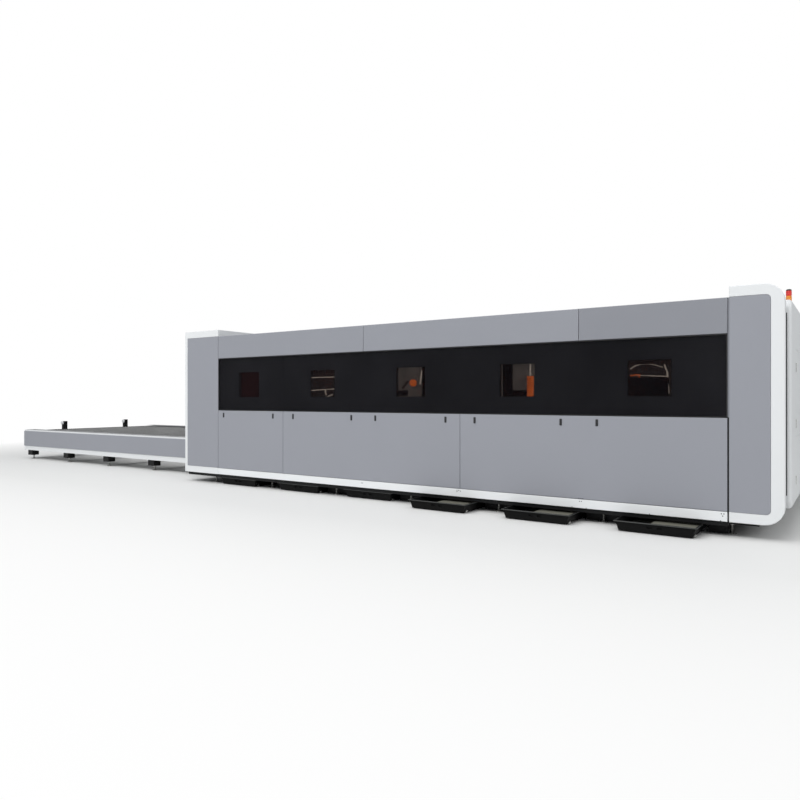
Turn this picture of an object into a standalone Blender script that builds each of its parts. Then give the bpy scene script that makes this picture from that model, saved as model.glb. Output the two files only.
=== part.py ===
"""Enclosed fiber laser cutting machine with a two-pallet exchange table.

Metres, +Z up, standing on z = 0 with its long side along X. The functions work from the
pallet port (x = 0) and the machine's centre line (y = 0). One empty, which every piece is
parented to, brings the middle of the footprint to the world origin.
"""
import math

import bmesh
import bpy
from mathutils import Vector

# Fits
SEAT = 0.0003               # gap where one piece rests on or against another
RUNNING = 0.0006            # radial gap round a shaft
BORE_SIDES = 24             # enough that a turning shaft clears its bore
SEAM = 0.004                # visible joint between two cover panels
OVERSIZE = 0.02             # how far a cutter reaches past what it cuts
CLEAR = 0.01                # plain space between pieces that don't touch

# Pallets: their length and width set those of the machine
PALLET_LENGTH = 6.2
PALLET_HALF = 1.31
PALLET_TUBE = 0.08
PALLET_HEIGHT = 0.12
LEVEL_STEP = 0.26           # from the lower pallet to the upper one
TOOTH = 0.03
TEETH = 8
SLATS = 20
SLAT_THICKNESS = 0.006
SLAT_DEPTH = 0.09
PALLET_BEARERS = 2
BEARER_WIDTH = 0.04
BEARER_DEPTH = 0.025
TUBE_OVER_SLATS = 0.002
SLAT_IN_TUBE = 0.001
WHEEL_RADIUS = 0.035
WHEEL_WIDTH = 0.055
WHEEL_DROP = 0.10           # wheel's centre below the slat tips
WHEELS = 4
PALLET_TO_PORT = 0.02
PALLET_INSIDE = 1.0         # where a pallet starts inside the machine

# Across the machine, from the pallets outwards
LEDGE_GAP = 0.02
LEDGE_WIDTH = 0.17
GUIDE_WALL = 0.02
BEAM_WIDTH = 0.30
SIDE_SPACE = 0.55           # from the bed's beam to the covers' face

# Along the machine, from the pallet's inner end to the right
GUIDE_PAST_PALLET = 0.40
IDLER_PAST_GUIDE = 0.30
COVERS_PAST_PALLET = 1.045
HEAD_FROM_END = 0.30        # cutting head's rest place before the pallet's end

# Enclosure lengths, from the pallet port to the right
HOOD_WIDTH = 0.817          # raised hood over the port
FIRST_PANEL = 1.428         # lower cover next to the hood
PANELS = 3                  # the others share the rest
BAYS_A_PANEL = 2
CAP_GAP = 0.012             # dark joint before the end cap
CAP_WIDTH = 0.481
HOUSING_PROUD = 0.037       # end housing beyond the end cap

# Enclosure heights
SKIRT_BOTTOM = 0.158
PANEL_BOTTOM = 0.259
GLASS_BOTTOM = 1.184
GLASS_TOP = 2.015
PANEL_TOP = 2.373
HOOD_TOP = 2.48
WALL_TOP = 2.31

# Enclosure sheet and walls
PANEL_DEPTH = 0.025
SHEET = 0.003
EDGE = 0.003                # bevel on a cover's front edge
GLASS_RECESS = 0.015
WALL = 0.06
HOOD_WALL = 0.04
HOOD_TRIM = 0.06            # white strip at the hood's left
PORT_HEIGHT = 0.39          # above the pallets' working height
RECESS = 0.015              # pocket for the grey infill panels

# Latches of the lower covers
LATCH_WIDTH = 0.025
LATCH_HEIGHT = 0.07
LATCH_PROUD = 0.005
LATCH_DROP = 0.074          # latch's middle below the glass
LATCH_FROM_BAY = 0.545      # from the middle of its bay

# Safety windows in the inner wall
WINDOWS = 5
WINDOW_WIDTH = 0.45
WINDOW_HEIGHT = 0.39
WINDOW_MIDDLE = 1.59
WINDOW_THICKNESS = 0.006
WINDOW_INSET = 0.006

# End cap, end housing and its two doors
CAP_DEPTH = 0.18
CAP_RADIUS = 0.18
CAP_BEVEL = 0.006
CAP_TRIM = 0.118
TRIM_RADIUS = 0.045
STAND_OFF = 0.10            # square blocks that carry the cap on the housing
STAND_OFF_HEIGHT = 0.08
STAND_OFF_FROM_EDGE = 0.35
HOUSING_SPACE = 0.06        # between the housing and the caps
HOUSING_BOTTOM = 0.29
HOUSING_TOP = 2.35
HOUSING_DEPTH = 0.605
HOUSING_RADIUS = 0.12
DOOR_FRAME = 0.55           # housing beside the doors
DOOR_BOTTOM = 0.345
DOOR_TOP = 1.88
DOOR_THICKNESS = 0.04
DOOR_GAP = 0.003
DOOR_SEAM_HEIGHT = 0.98
DOOR_SEAM_DEPTH = 0.004
PANE_NEAR = 0.12            # window's edge from the machine's centre line
PANE_WIDTH = 0.63
PANE_BOTTOM = 1.25
PANE_TOP = 1.80
PANE_THICKNESS = 0.006
GRIP_LENGTH = 0.24
GRIP_WIDTH = 0.03
GRIP_DEPTH = 0.014

# Signal tower on the end housing
SIGNAL_RADIUS = 0.035
SIGNAL_BASE = 0.012
SIGNAL_STEM = 0.035
SIGNAL_LENS = 0.058
SIGNAL_LENSES = 3
SIGNAL_GROOVE = 0.003
SIGNAL_LID = 0.018
SIGNAL_FROM_EDGE = 1.0      # from the housing's front side
SIGNAL_INSET = 0.095        # from the housing's outer face

# Roof and rear wall
ROOF_EDGE = 0.02
ROOF_RISE = 0.03
ROOF_RIB_WIDTH = 0.05
ROOF_RIB_HEIGHT = 0.018
ROOF_RIB_MARGIN = 0.22
GROOVE = 0.004
DUCT_RADIUS = 0.15
DUCT_HEIGHT = 0.72
DUCT_PANEL = 0.75

# Bed
TRAYS = 6
FIRST_TRAY = 1.22           # middle of the tray nearest to the port
LAST_CROSS_PAST = 0.004     # last cross beam's middle past the covers
TRAY_SPACE = 0.468          # between two trays
CROSS_WIDTH = 0.20
CROSS_FLANGE = 0.014
CROSS_HEIGHT = 0.108
RIM_OVERLAP = 0.02          # a tray's rim under the cross beam's flange
BEAM_OVER_PALLET = 0.12
BEAM_START = 0.08
BEAM_TO_HOUSING = 0.04
GUSSET = 0.26
GUSSET_THICKNESS = 0.012
FOOT_RADIUS = 0.045
FOOT_PAD = 0.012
FOOT_BOLT = 0.012
FOOT_INSET = 0.085

# Gantry rails and racks on the bed
RAIL_WIDTH = 0.035
RAIL_WAIST = 0.007          # how far the rail's sides draw in
RAIL_HEIGHT = 0.03
RAIL_SHOULDER = 0.0135
RAIL_INSET = 0.08           # rail's inner side from the beam's inner side
RACK_WIDTH = 0.03
RACK_FROM_RAIL = 0.07
RAIL_MARGIN = 0.15

# Scrap trays
TRAY_DEPTH = 3.70
TRAY_RIM = 0.112
TRAY_FLOOR = 0.022
TRAY_SLOPE = 0.03
TRAY_LIP = 0.015
TRAY_SHEET = 0.004
TRAY_SETBACK = 0.04         # pushed in, behind the front covers
TRAY_PULLED = 0.30
TRAYS_PULLED = 3
ROLLER_RADIUS = 0.020
ROLLER_WIDTH = 0.03
ROLLER_INSET = 0.10
ROLLER_STEPS = 4
SLOT_WIDTH = 0.05
SLOT_HEIGHT = 0.022
SLOT_SPACING = 0.10

# Pallet guides
GUIDE_SPACE = 0.0141        # between the bed's cross beams and the guides
GUIDE_FOOT = 0.01
LEDGE_THICKNESS = 0.02
GUIDE_RISE = 0.095          # guide above its upper ledge

# Exchange drive
CHAIN_FROM_LEDGE = 0.09
CHAIN_BELOW_MIDDLE = 0.01
CHAIN_RADIUS = 0.045        # pitch radius of the sprockets
CHAIN_THICKNESS = 0.012
CHAIN_WIDTH = 0.016
CHAIN_STEPS = 4
SHAFT_RADIUS = 0.02
DRIVE_FROM_END = 0.15
SHAFT_END = 0.04            # length in its bearing
LUG = 0.008
LUG_LENGTH = 0.06
LUG_FROM_PORT_END = 0.30
LUG_SPACE = 0.012           # lower lug under the lower pallet's slats
GEARBOX_RADIUS = 0.07
GEARBOX_HALF = 0.09
GEARBOX_CHAMFER = 0.015
ARM_HALF = 0.03
ARM_HALF_HEIGHT = 0.02
MOTOR_RADIUS = 0.06
EXCHANGE_MOTOR_LENGTH = 0.18

# Exchange table
TABLE_END_SPACE = 0.315     # past the pallet's outer end
TABLE_BEAM = 0.10
CHANNEL_WIDTH = 0.14        # white channel from the beam to the table's side
TABLE_BOTTOM = 0.185
BEAM_BELOW_PALLET = 0.04
PANEL_LIFT = 0.095          # grey cover above the channel's foot
PANEL_BELOW_TRIM = 0.028
TABLE_PANEL = 0.012
TRIM_FLANGE = 0.27
TABLE_CROSSES = 5
TABLE_CROSS_WIDTH = 0.20
TABLE_CROSS_BOTTOM = 0.08
FIRST_CROSS_FROM_END = 0.385
LAST_CROSS_FROM_PORT = 0.23
END_BEAM = 0.0627
END_BEAM_DROP = 0.02
STOP_Y = 0.80
STOP_WIDTH = 0.12
STOP_LENGTH = 0.07
STOP_HEIGHT = 0.14
STOP_ROLLER = 0.06
STOP_ROLLER_WIDTH = 0.03

# Gantry
HEAD_TO_BEAM = 0.36         # cutting head's axis to the beam's middle
GANTRY_WIDTH = 0.34
GANTRY_HEIGHT = 0.32
GANTRY_CHAMFER = 0.05
GANTRY_POCKETS = 5
GANTRY_WEB = 0.09           # beam left above and below its pockets
POCKET_LOW = 0.8            # share of its span that a pocket takes, below and above
POCKET_HIGH = 0.5
POCKET_DEPTH = 0.03
BEAM_TO_MOTOR = 0.015
SADDLE_LENGTH = 0.70
SADDLE_OVERHANG = 0.02
SADDLE_RISE = 0.17          # saddle's top above the bed's beam
SADDLE_LIFT = 0.01
SADDLE_GRIP = 0.0006
MOTOR_PLATE_RISE = 0.05
RACK_CLEAR = 0.015
PINION_RADIUS = 0.03
PINION_GAP = 0.0018
PINION_LIFT = 0.002
MOTOR_FLANGE = 0.07
MOTOR_BODY_RADIUS = 0.051
MOTOR_CAP_RADIUS = 0.042
MOTOR_CAP = 0.01
MOTOR_LENGTH = 0.30
Y_RAIL = 0.02
Y_RAIL_INSET = 0.06
Y_RAIL_MARGIN = 0.0506

# Head carriage and cutting head
CARRIAGE_HALF = 0.17
CARRIAGE_PLATE = 0.03
CARRIAGE_HEIGHT = 0.51
COLUMN_HALF = 0.09
COLUMN_MARGIN = 0.03
LIFT_MOTOR_RADIUS = 0.054
LIFT_MOTOR_ROOT = 0.05
LIFT_MOTOR_RISE = 0.12
SLIDE_HALF = 0.065
SLIDE_PLATE = 0.02
SLIDE_LOW = 0.13
SLIDE_HIGH = 0.48
HEAD_RADIUS = 0.048
NOZZLE_OVER_PALLET = 0.08
# radius and height above the nozzle's tip
HEAD_PROFILE = [
    (0.004, 0.0), (0.013, 0.02), (0.018, 0.022), (0.018, 0.05), (0.032, 0.075),
    (HEAD_RADIUS, 0.10), (HEAD_RADIUS, 0.36), (0.0336, 0.37), (0.0336, 0.50), (0.02, 0.53),
]

# Across the machine
LEDGE_INNER = PALLET_HALF + LEDGE_GAP
GUIDE_OUTER = LEDGE_INNER + LEDGE_WIDTH
BEAM_INNER = GUIDE_OUTER + GUIDE_WALL
BEAM_OUTER = BEAM_INNER + BEAM_WIDTH
HALF_WIDTH = BEAM_OUTER + SIDE_SPACE
WALL_FACE = HALF_WIDTH - PANEL_DEPTH - SEAT
WALL_INSIDE = WALL_FACE - WALL
HOUSING_HALF = HALF_WIDTH - CAP_DEPTH - HOUSING_SPACE
DOOR_HALF = HOUSING_HALF - DOOR_FRAME
TABLE_HALF = GUIDE_OUTER + TABLE_BEAM + CHANNEL_WIDTH
PORT_HALF = GUIDE_OUTER + TABLE_BEAM + LEDGE_GAP
RAIL_INNER = BEAM_INNER + RAIL_INSET
RAIL_OUTER = RAIL_INNER + RAIL_WIDTH
RACK_INNER = RAIL_OUTER + RACK_FROM_RAIL
RACK_OUTER = RACK_INNER + RACK_WIDTH
PINION_Y = RACK_OUTER + SEAT + PINION_RADIUS
CHAIN_Y = LEDGE_INNER + CHAIN_FROM_LEDGE

# Along the machine
HOOD_END = HOOD_WIDTH
PALLET_END = PALLET_INSIDE + PALLET_LENGTH
COVERS_END = PALLET_END + COVERS_PAST_PALLET
PANEL = (COVERS_END - HOOD_END - FIRST_PANEL) / (PANELS - 1)
BAY = PANEL / BAYS_A_PANEL
SEAMS = [HOOD_END + FIRST_PANEL + PANEL * count for count in range(PANELS)]
BAY_MIDDLES = [SEAMS[0] + BAY * (count - 0.5) for count in range(WINDOWS)]
CAP_START = COVERS_END + CAP_GAP
CAP_END = CAP_START + CAP_WIDTH
HOUSING_END = CAP_END + HOUSING_PROUD
HOUSING_START = HOUSING_END - HOUSING_DEPTH
BEAM_END = HOUSING_START - BEAM_TO_HOUSING
GUIDE_END = PALLET_END + GUIDE_PAST_PALLET
IDLER_X = GUIDE_END + IDLER_PAST_GUIDE
TRAY_PITCH = (COVERS_END + LAST_CROSS_PAST - FIRST_TRAY) / (TRAYS - 0.5)
TRAY_WIDTH = TRAY_PITCH - TRAY_SPACE
CROSS_XS = [FIRST_TRAY + TRAY_PITCH * (count - 0.5) for count in range(TRAYS + 1)]
TABLE_START = -PALLET_TO_PORT - PALLET_LENGTH - TABLE_END_SPACE
FIRST_CROSS = TABLE_START + FIRST_CROSS_FROM_END
TABLE_CROSS_PITCH = (-LAST_CROSS_FROM_PORT - FIRST_CROSS) / (TABLE_CROSSES - 1)
DRIVE_X = TABLE_START + DRIVE_FROM_END
HEAD_X = PALLET_END - HEAD_FROM_END
GANTRY_X = HEAD_X + HEAD_TO_BEAM

# Heights, from the scrap trays up
CROSS_BOTTOM = TRAY_RIM + SEAT
CROSS_TOP = CROSS_BOTTOM + CROSS_HEIGHT
GUIDE_BOTTOM = CROSS_TOP + GUIDE_SPACE
LOWER_LEDGE = GUIDE_BOTTOM + GUIDE_FOOT + SEAT + LEDGE_THICKNESS
LEDGE_TOPS = [LOWER_LEDGE + LEVEL_STEP, LOWER_LEDGE]
WHEEL_MIDDLES = [ledge + WHEEL_RADIUS + SEAT for ledge in LEDGE_TOPS]
UPPER_TOP = WHEEL_MIDDLES[0] + WHEEL_DROP
LOWER_TOP = WHEEL_MIDDLES[1] + WHEEL_DROP
CHAIN_SPACE = LEVEL_STEP - PALLET_HEIGHT - TOOTH
CHAIN_Z = LOWER_TOP + CHAIN_SPACE / 2 - CHAIN_BELOW_MIDDLE
BEAM_TOP = UPPER_TOP + BEAM_OVER_PALLET
RAIL_TOP = BEAM_TOP + RAIL_HEIGHT
PORT_TOP = UPPER_TOP + PORT_HEIGHT
TABLE_BEAM_TOP = UPPER_TOP - BEAM_BELOW_PALLET
TABLE_PANEL_BOTTOM = TABLE_BOTTOM + PANEL_LIFT
TABLE_PANEL_TOP = UPPER_TOP - PANEL_BELOW_TRIM
END_BEAM_TOP = UPPER_TOP - END_BEAM_DROP
SADDLE_BOTTOM = BEAM_TOP + SADDLE_LIFT
SADDLE_TOP = BEAM_TOP + SADDLE_RISE
MOTOR_PLATE = BEAM_TOP + MOTOR_PLATE_RISE
GANTRY_TOP = SADDLE_TOP + GANTRY_HEIGHT
CARRIAGE_TOP = SADDLE_TOP + CARRIAGE_HEIGHT
NOZZLE_TIP = UPPER_TOP + NOZZLE_OVER_PALLET

FOOTPRINT_MIDDLE = (
    (HOUSING_END + TABLE_START) / 2,
    -(TRAY_PULLED - TRAY_SETBACK) / 2,
    0.0,
)

FINISHES = {
    # colour, roughness, metallic
    "grey_cover": ((0.30, 0.31, 0.35), 0.42, 0.0),
    "white_cover": ((0.80, 0.83, 0.84), 0.38, 0.0),
    "black_frame": ((0.012, 0.012, 0.013), 0.55, 0.0),
    "dark_wall": ((0.02, 0.02, 0.022), 0.6, 0.0),
    "dark_glass": ((0.010, 0.010, 0.014), 0.08, 0.0),
    "amber_glass": ((0.35, 0.07, 0.015), 0.1, 0.0),
    "door_glass": ((0.16, 0.22, 0.27), 0.08, 0.0),
    "ground_steel": ((0.55, 0.56, 0.58), 0.25, 1.0),
    "slat_steel": ((0.16, 0.16, 0.17), 0.5, 0.8),
    "signal": ((0.75, 0.10, 0.05), 0.3, 0.0),
    "machined_alloy": ((0.6, 0.61, 0.63), 0.35, 0.9),
}


def finish_material(name):
    """One Principled material for each finish, made the first time that it is asked for."""
    if name in bpy.data.materials:
        return bpy.data.materials[name]
    colour, roughness, metallic = FINISHES[name]
    material = bpy.data.materials.new(name)
    material.use_nodes = True
    shader = material.node_tree.nodes["Principled BSDF"]
    shader.inputs["Base Color"].default_value = (*colour, 1.0)
    shader.inputs["Roughness"].default_value = roughness
    shader.inputs["Metallic"].default_value = metallic
    material.diffuse_color = (*colour, 1.0)
    return material


def loft(loops):
    """A closed solid: each loop of points is bridged to the next, and both ends are capped."""
    bm = bmesh.new()
    rings = [[bm.verts.new(point) for point in loop] for loop in loops]
    for ring, following in zip(rings, rings[1:]):
        count = len(ring)
        for index in range(count):
            after = (index + 1) % count
            bm.faces.new((ring[index], ring[after], following[after], following[index]))
    bm.faces.new(rings[0][::-1])
    bm.faces.new(rings[-1])
    bmesh.ops.recalc_face_normals(bm, faces=bm.faces)
    mesh = bpy.data.meshes.new("shape")
    bm.to_mesh(mesh)
    bm.free()
    solid = bpy.data.objects.new("shape", mesh)
    bpy.context.scene.collection.objects.link(solid)
    return solid


def in_space(outline, axis, depth):
    """A flat outline's points at one depth. Axis X takes (y, z), Y takes (x, z), Z takes (x, y)."""
    if axis == "X":
        return [(depth, u, v) for u, v in outline]
    if axis == "Y":
        return [(u, depth, v) for u, v in outline]
    return [(u, v, depth) for u, v in outline]


def prism(outline, axis, start, end):
    return loft([in_space(outline, axis, start), in_space(outline, axis, end)])


def rectangle(low_u, high_u, low_v, high_v):
    return [(low_u, low_v), (high_u, low_v), (high_u, high_v), (low_u, high_v)]


def rounded(low_u, high_u, low_v, high_v, left, right, steps=5):
    """A rectangle whose two left and two right corners have their own radii, 0 for a sharp one."""
    corners = [
        (high_u, high_v, right, 0.0, -1, -1),
        (low_u, high_v, left, 0.5, 1, -1),
        (low_u, low_v, left, 1.0, 1, 1),
        (high_u, low_v, right, 1.5, -1, 1),
    ]
    points = []
    for u, v, radius, turn, toward_u, toward_v in corners:
        if radius <= 0:
            points.append((u, v))
            continue
        middle_u, middle_v = u + toward_u * radius, v + toward_v * radius
        for step in range(steps + 1):
            angle = math.pi * (turn + 0.5 * step / steps)
            points.append((middle_u + radius * math.cos(angle), middle_v + radius * math.sin(angle)))
    return points


def block(low, high):
    return prism(rectangle(low[0], high[0], low[1], high[1]), "Z", low[2], high[2])


def mirrored_blocks(low, high):
    """The same block on both sides of the centre line, given for positive y."""
    return [
        block(low, high),
        block((low[0], -high[1], low[2]), (high[0], -low[1], high[2])),
    ]


def turned(profile, middle, axis, segments=12):
    """A turned solid from (radius, place along the axis) pairs. The middle gives the two other axes."""
    loops = []
    for radius, along in profile:
        circle = []
        for count in range(segments):
            angle = 2 * math.pi * count / segments
            circle.append((middle[0] + radius * math.cos(angle), middle[1] + radius * math.sin(angle)))
        loops.append(in_space(circle, axis, along))
    return loft(loops)


def rod(radius, start, end, middle, axis, segments=12):
    return turned([(radius, start), (radius, end)], middle, axis, segments)


def combine(base, joined=(), removed=()):
    """Fuse shapes into the base, cut others out of it, and keep only the finished mesh."""
    groups = []
    for shapes, operation in ((joined, "UNION"), (removed, "DIFFERENCE")):
        if not shapes:
            continue
        group = bpy.data.collections.new(operation)
        for shape in shapes:
            group.objects.link(shape)
        boolean = base.modifiers.new(operation, "BOOLEAN")
        boolean.operation = operation
        boolean.solver = "EXACT"
        boolean.operand_type = "COLLECTION"
        boolean.collection = group
        groups.append(group)
    bpy.context.view_layer.update()
    graph = bpy.context.evaluated_depsgraph_get()
    finished = bpy.data.meshes.new_from_object(base.evaluated_get(graph))
    base.modifiers.clear()
    base.data = finished
    for group in groups:
        for shape in list(group.objects):
            bpy.data.objects.remove(shape)
        bpy.data.collections.remove(group)
    return base


def piece(name, solid, finish, pivot):
    """Name a finished solid, give it its finish and put its origin on the pivot."""
    solid.name = name
    solid.data.name = name
    solid.data.materials.clear()
    solid.data.materials.append(finish_material(finish))
    for vertex in solid.data.vertices:
        vertex.co -= Vector(pivot)
    solid.data.shade_smooth()
    solid.data.set_sharp_from_angle(angle=math.radians(32))
    solid.location = pivot
    solid.parent = bpy.data.objects["machine_middle"]
    return solid


def foot(x, y, top):
    """A levelling foot: a round pad and its bolt, up into what it carries."""
    profile = [(FOOT_RADIUS, 0), (FOOT_RADIUS, FOOT_PAD), (FOOT_BOLT, FOOT_PAD), (FOOT_BOLT, top)]
    return turned(profile, (x, y), "Z", 6)


def cover(low_x, high_x, low_z, high_z, side):
    """A folded sheet cover: a bevelled face with returns all round, open at the back."""
    face = side * HALF_WIDTH
    back = side * (HALF_WIDTH - PANEL_DEPTH)

    def ring(inset, y):
        outline = rectangle(low_x + inset, high_x - inset, low_z + inset, high_z - inset)
        return in_space(outline, "Y", y)

    edge = SEAM / 2
    return loft([
        ring(edge + EDGE, face),
        ring(edge, face - side * EDGE),
        ring(edge, back),
        ring(edge + SHEET, back),
        ring(edge + SHEET, face - side * SHEET),
    ])


def build_bed():
    flange = TRAY_PITCH / 2 - TRAY_WIDTH / 2 + RIM_OVERLAP
    half = CROSS_WIDTH / 2
    flange_top = CROSS_BOTTOM + CROSS_FLANGE
    shapes = mirrored_blocks((BEAM_START, BEAM_INNER, CROSS_TOP - SEAT), (BEAM_END, BEAM_OUTER, BEAM_TOP))
    base = shapes.pop(0)
    shapes += mirrored_blocks(
        (BEAM_START + RAIL_MARGIN, RACK_INNER, BEAM_TOP - SEAT),
        (BEAM_END - RAIL_MARGIN, RACK_OUTER, RAIL_TOP),
    )
    shapes += mirrored_blocks(
        (BEAM_END - CROSS_WIDTH, BEAM_INNER, CROSS_TOP - SEAT),
        (CROSS_XS[-1] + CROSS_WIDTH / 2, BEAM_OUTER, HOUSING_BOTTOM - SEAT),
    )
    for x in CROSS_XS:
        under_cap = x + half > CAP_START
        half_length = (HALF_WIDTH - CAP_DEPTH if under_cap else WALL_INSIDE) - SEAT
        section = [
            (x - flange, CROSS_BOTTOM), (x + flange, CROSS_BOTTOM), (x + flange, flange_top),
            (x + half, flange_top), (x + half, CROSS_TOP), (x - half, CROSS_TOP),
            (x - half, flange_top), (x - flange, flange_top),
        ]
        shapes.append(prism(section, "Y", -half_length, half_length))
        for side in (-1, 1):
            shapes.append(foot(x, side * (half_length - FOOT_INSET), CROSS_BOTTOM + CROSS_FLANGE / 2))
            if under_cap:
                continue
            corner = [
                (side * (BEAM_OUTER - SEAT), CROSS_TOP - SEAT),
                (side * (BEAM_OUTER + GUSSET), CROSS_TOP - SEAT),
                (side * (BEAM_OUTER - SEAT), CROSS_TOP + GUSSET),
            ]
            shapes.append(prism(corner, "X", x - GUSSET_THICKNESS / 2, x + GUSSET_THICKNESS / 2))
    bearings = []
    for side in (-1, 1):
        inner, outer = side * (BEAM_INNER - OVERSIZE), side * (BEAM_INNER + SHAFT_END + SEAT)
        bearings.append(rod(SHAFT_RADIUS + RUNNING, inner, outer, (IDLER_X, CHAIN_Z), "Y", BORE_SIDES))
    piece("bed_frame", combine(base, shapes, bearings), "black_frame", (0, 0, CROSS_BOTTOM))


def build_rails():
    """Profiled guide rails for the gantry, with a waist below the head."""
    low, shoulder = BEAM_TOP + SEAT, BEAM_TOP + RAIL_SHOULDER
    for name, side in (("front_guide_rail", -1), ("rear_guide_rail", 1)):
        section = [
            (side * RAIL_INNER, low), (side * RAIL_OUTER, low),
            (side * (RAIL_OUTER - RAIL_WAIST), shoulder), (side * RAIL_OUTER, RAIL_TOP),
            (side * RAIL_INNER, RAIL_TOP), (side * (RAIL_INNER + RAIL_WAIST), shoulder),
        ]
        rail = prism(section, "X", BEAM_START + RAIL_MARGIN, BEAM_END - RAIL_MARGIN)
        piece(name, rail, "ground_steel", (0, side * RAIL_INNER, BEAM_TOP))


def guide_section(side, outer, bottom, top):
    """A wall with one ledge for each pallet level, seen along the machine."""
    points = [(outer, bottom), (outer, top), (GUIDE_OUTER, top)]
    for ledge in LEDGE_TOPS:
        under = ledge - LEDGE_THICKNESS
        points += [(GUIDE_OUTER, ledge), (LEDGE_INNER, ledge), (LEDGE_INNER, under), (GUIDE_OUTER, under)]
    points.append((GUIDE_OUTER, bottom))
    return [(side * y, z) for y, z in points]


def build_pallet_guides():
    for name, side in (("front_pallet_guide", -1), ("rear_pallet_guide", 1)):
        section = guide_section(side, BEAM_INNER - SEAT, GUIDE_BOTTOM, LEDGE_TOPS[0] + GUIDE_RISE)
        guide = prism(section, "X", SEAT, GUIDE_END)
        piece(name, guide, "black_frame", (0, side * GUIDE_OUTER, LEDGE_TOPS[1]))


def end_stops():
    """Two blocks on the table's end beam, each with the round buffer that stops a pallet."""
    low_x = TABLE_START + TABLE_PANEL + SEAT
    bottom = END_BEAM_TOP - SEAT
    stops = []
    for y in (-STOP_Y, STOP_Y):
        near, far = y - STOP_WIDTH / 2, y + STOP_WIDTH / 2
        stops.append(block((low_x, near, bottom), (low_x + STOP_LENGTH, far, bottom + STOP_HEIGHT)))
        middle = (low_x + STOP_ROLLER, bottom + STOP_HEIGHT - CLEAR)
        stops.append(rod(STOP_ROLLER, near - STOP_ROLLER_WIDTH, near + STOP_ROLLER_WIDTH, middle, "Y"))
    return stops


def build_table_frame():
    """The exchange table's welded frame, with both levels' ledges, its feet and the end stops."""
    frame_end = -SEAT * 10
    end_face = TABLE_START + TABLE_PANEL + SEAT
    beams = []
    for side in (-1, 1):
        section = guide_section(side, GUIDE_OUTER + TABLE_BEAM, TABLE_BOTTOM - SEAT, TABLE_BEAM_TOP)
        beams.append(prism(section, "X", end_face, frame_end))
    base = beams.pop(0)
    half = TABLE_HALF - TABLE_PANEL - SHEET
    beams.append(block(
        (end_face, -GUIDE_OUTER - SEAT, TABLE_BOTTOM),
        (end_face + END_BEAM, GUIDE_OUTER + SEAT, END_BEAM_TOP),
    ))
    for count in range(TABLE_CROSSES):
        x = FIRST_CROSS + TABLE_CROSS_PITCH * count
        low = (x - TABLE_CROSS_WIDTH / 2, -half, TABLE_CROSS_BOTTOM)
        beams.append(block(low, (x + TABLE_CROSS_WIDTH / 2, half, TABLE_BOTTOM)))
        for side in (-1, 1):
            beams.append(foot(x, side * (half - FOOT_INSET), TABLE_CROSS_BOTTOM + FOOT_PAD))
    beams += end_stops()
    outer = GUIDE_OUTER + SHAFT_END + SEAT
    bearings = []
    for side in (-1, 1):
        inner = side * (GUIDE_OUTER - OVERSIZE)
        bearings.append(rod(SHAFT_RADIUS + RUNNING, inner, side * outer, (DRIVE_X, CHAIN_Z), "Y", BORE_SIDES))
    piece("table_frame", combine(base, beams, bearings), "black_frame", (TABLE_START, 0, TABLE_BOTTOM))


def build_table_covers():
    """White channel along each side of the table, with a grey cover on it, and the end cover."""
    web = TABLE_HALF - TABLE_PANEL - SEAT
    lip = GUIDE_OUTER + TABLE_BEAM + SEAT
    top_lip = TABLE_HALF - TRIM_FLANGE
    for place, side in (("front", -1), ("rear", 1)):
        section = [
            (lip, TABLE_BOTTOM + SEAT), (web, TABLE_BOTTOM + SEAT), (web, UPPER_TOP),
            (top_lip, UPPER_TOP), (top_lip, UPPER_TOP - SHEET),
            (web - SHEET, UPPER_TOP - SHEET), (web - SHEET, TABLE_BOTTOM + SEAT + SHEET),
            (lip, TABLE_BOTTOM + SEAT + SHEET),
        ]
        channel = prism([(side * y, z) for y, z in section], "X", TABLE_START, -SEAT)
        piece(place + "_table_trim", channel, "white_cover", (TABLE_START, side * web, TABLE_BOTTOM))
        outline = rectangle(TABLE_START, -SEAT, TABLE_PANEL_BOTTOM, TABLE_PANEL_TOP)
        inner = rectangle(TABLE_START + EDGE, -SEAT - EDGE,
                          TABLE_PANEL_BOTTOM + EDGE, TABLE_PANEL_TOP - EDGE)
        plate = loft([
            in_space(outline, "Y", side * (TABLE_HALF - TABLE_PANEL)),
            in_space(outline, "Y", side * (TABLE_HALF - EDGE)),
            in_space(inner, "Y", side * TABLE_HALF),
        ])
        pivot = (TABLE_START, side * TABLE_HALF, TABLE_PANEL_BOTTOM)
        piece(place + "_table_panel", plate, "grey_cover", pivot)
    half = web - SHEET - SEAT
    end = prism(rectangle(-half, half, TABLE_BOTTOM + SHEET + 2 * SEAT, END_BEAM_TOP - SEAT), "X",
                TABLE_START, TABLE_START + TABLE_PANEL)
    piece("table_end_panel", end, "grey_cover", (TABLE_START, 0, TABLE_BOTTOM))


def sprocket_shaft(x, reach):
    """A cross shaft with one sprocket for each chain, turned as one solid."""
    facet = math.cos(math.pi / (4 * CHAIN_STEPS))
    sprocket = (CHAIN_RADIUS - CHAIN_THICKNESS / 2) * facet - SEAT
    profile = [(SHAFT_RADIUS, -reach)]
    for y in (-CHAIN_Y, CHAIN_Y):
        low, high = y - CHAIN_WIDTH / 2, y + CHAIN_WIDTH / 2
        profile += [(SHAFT_RADIUS, low), (sprocket, low), (sprocket, high), (SHAFT_RADIUS, high)]
    profile.append((SHAFT_RADIUS, reach))
    return turned(profile, (x, CHAIN_Z), "Y")


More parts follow.
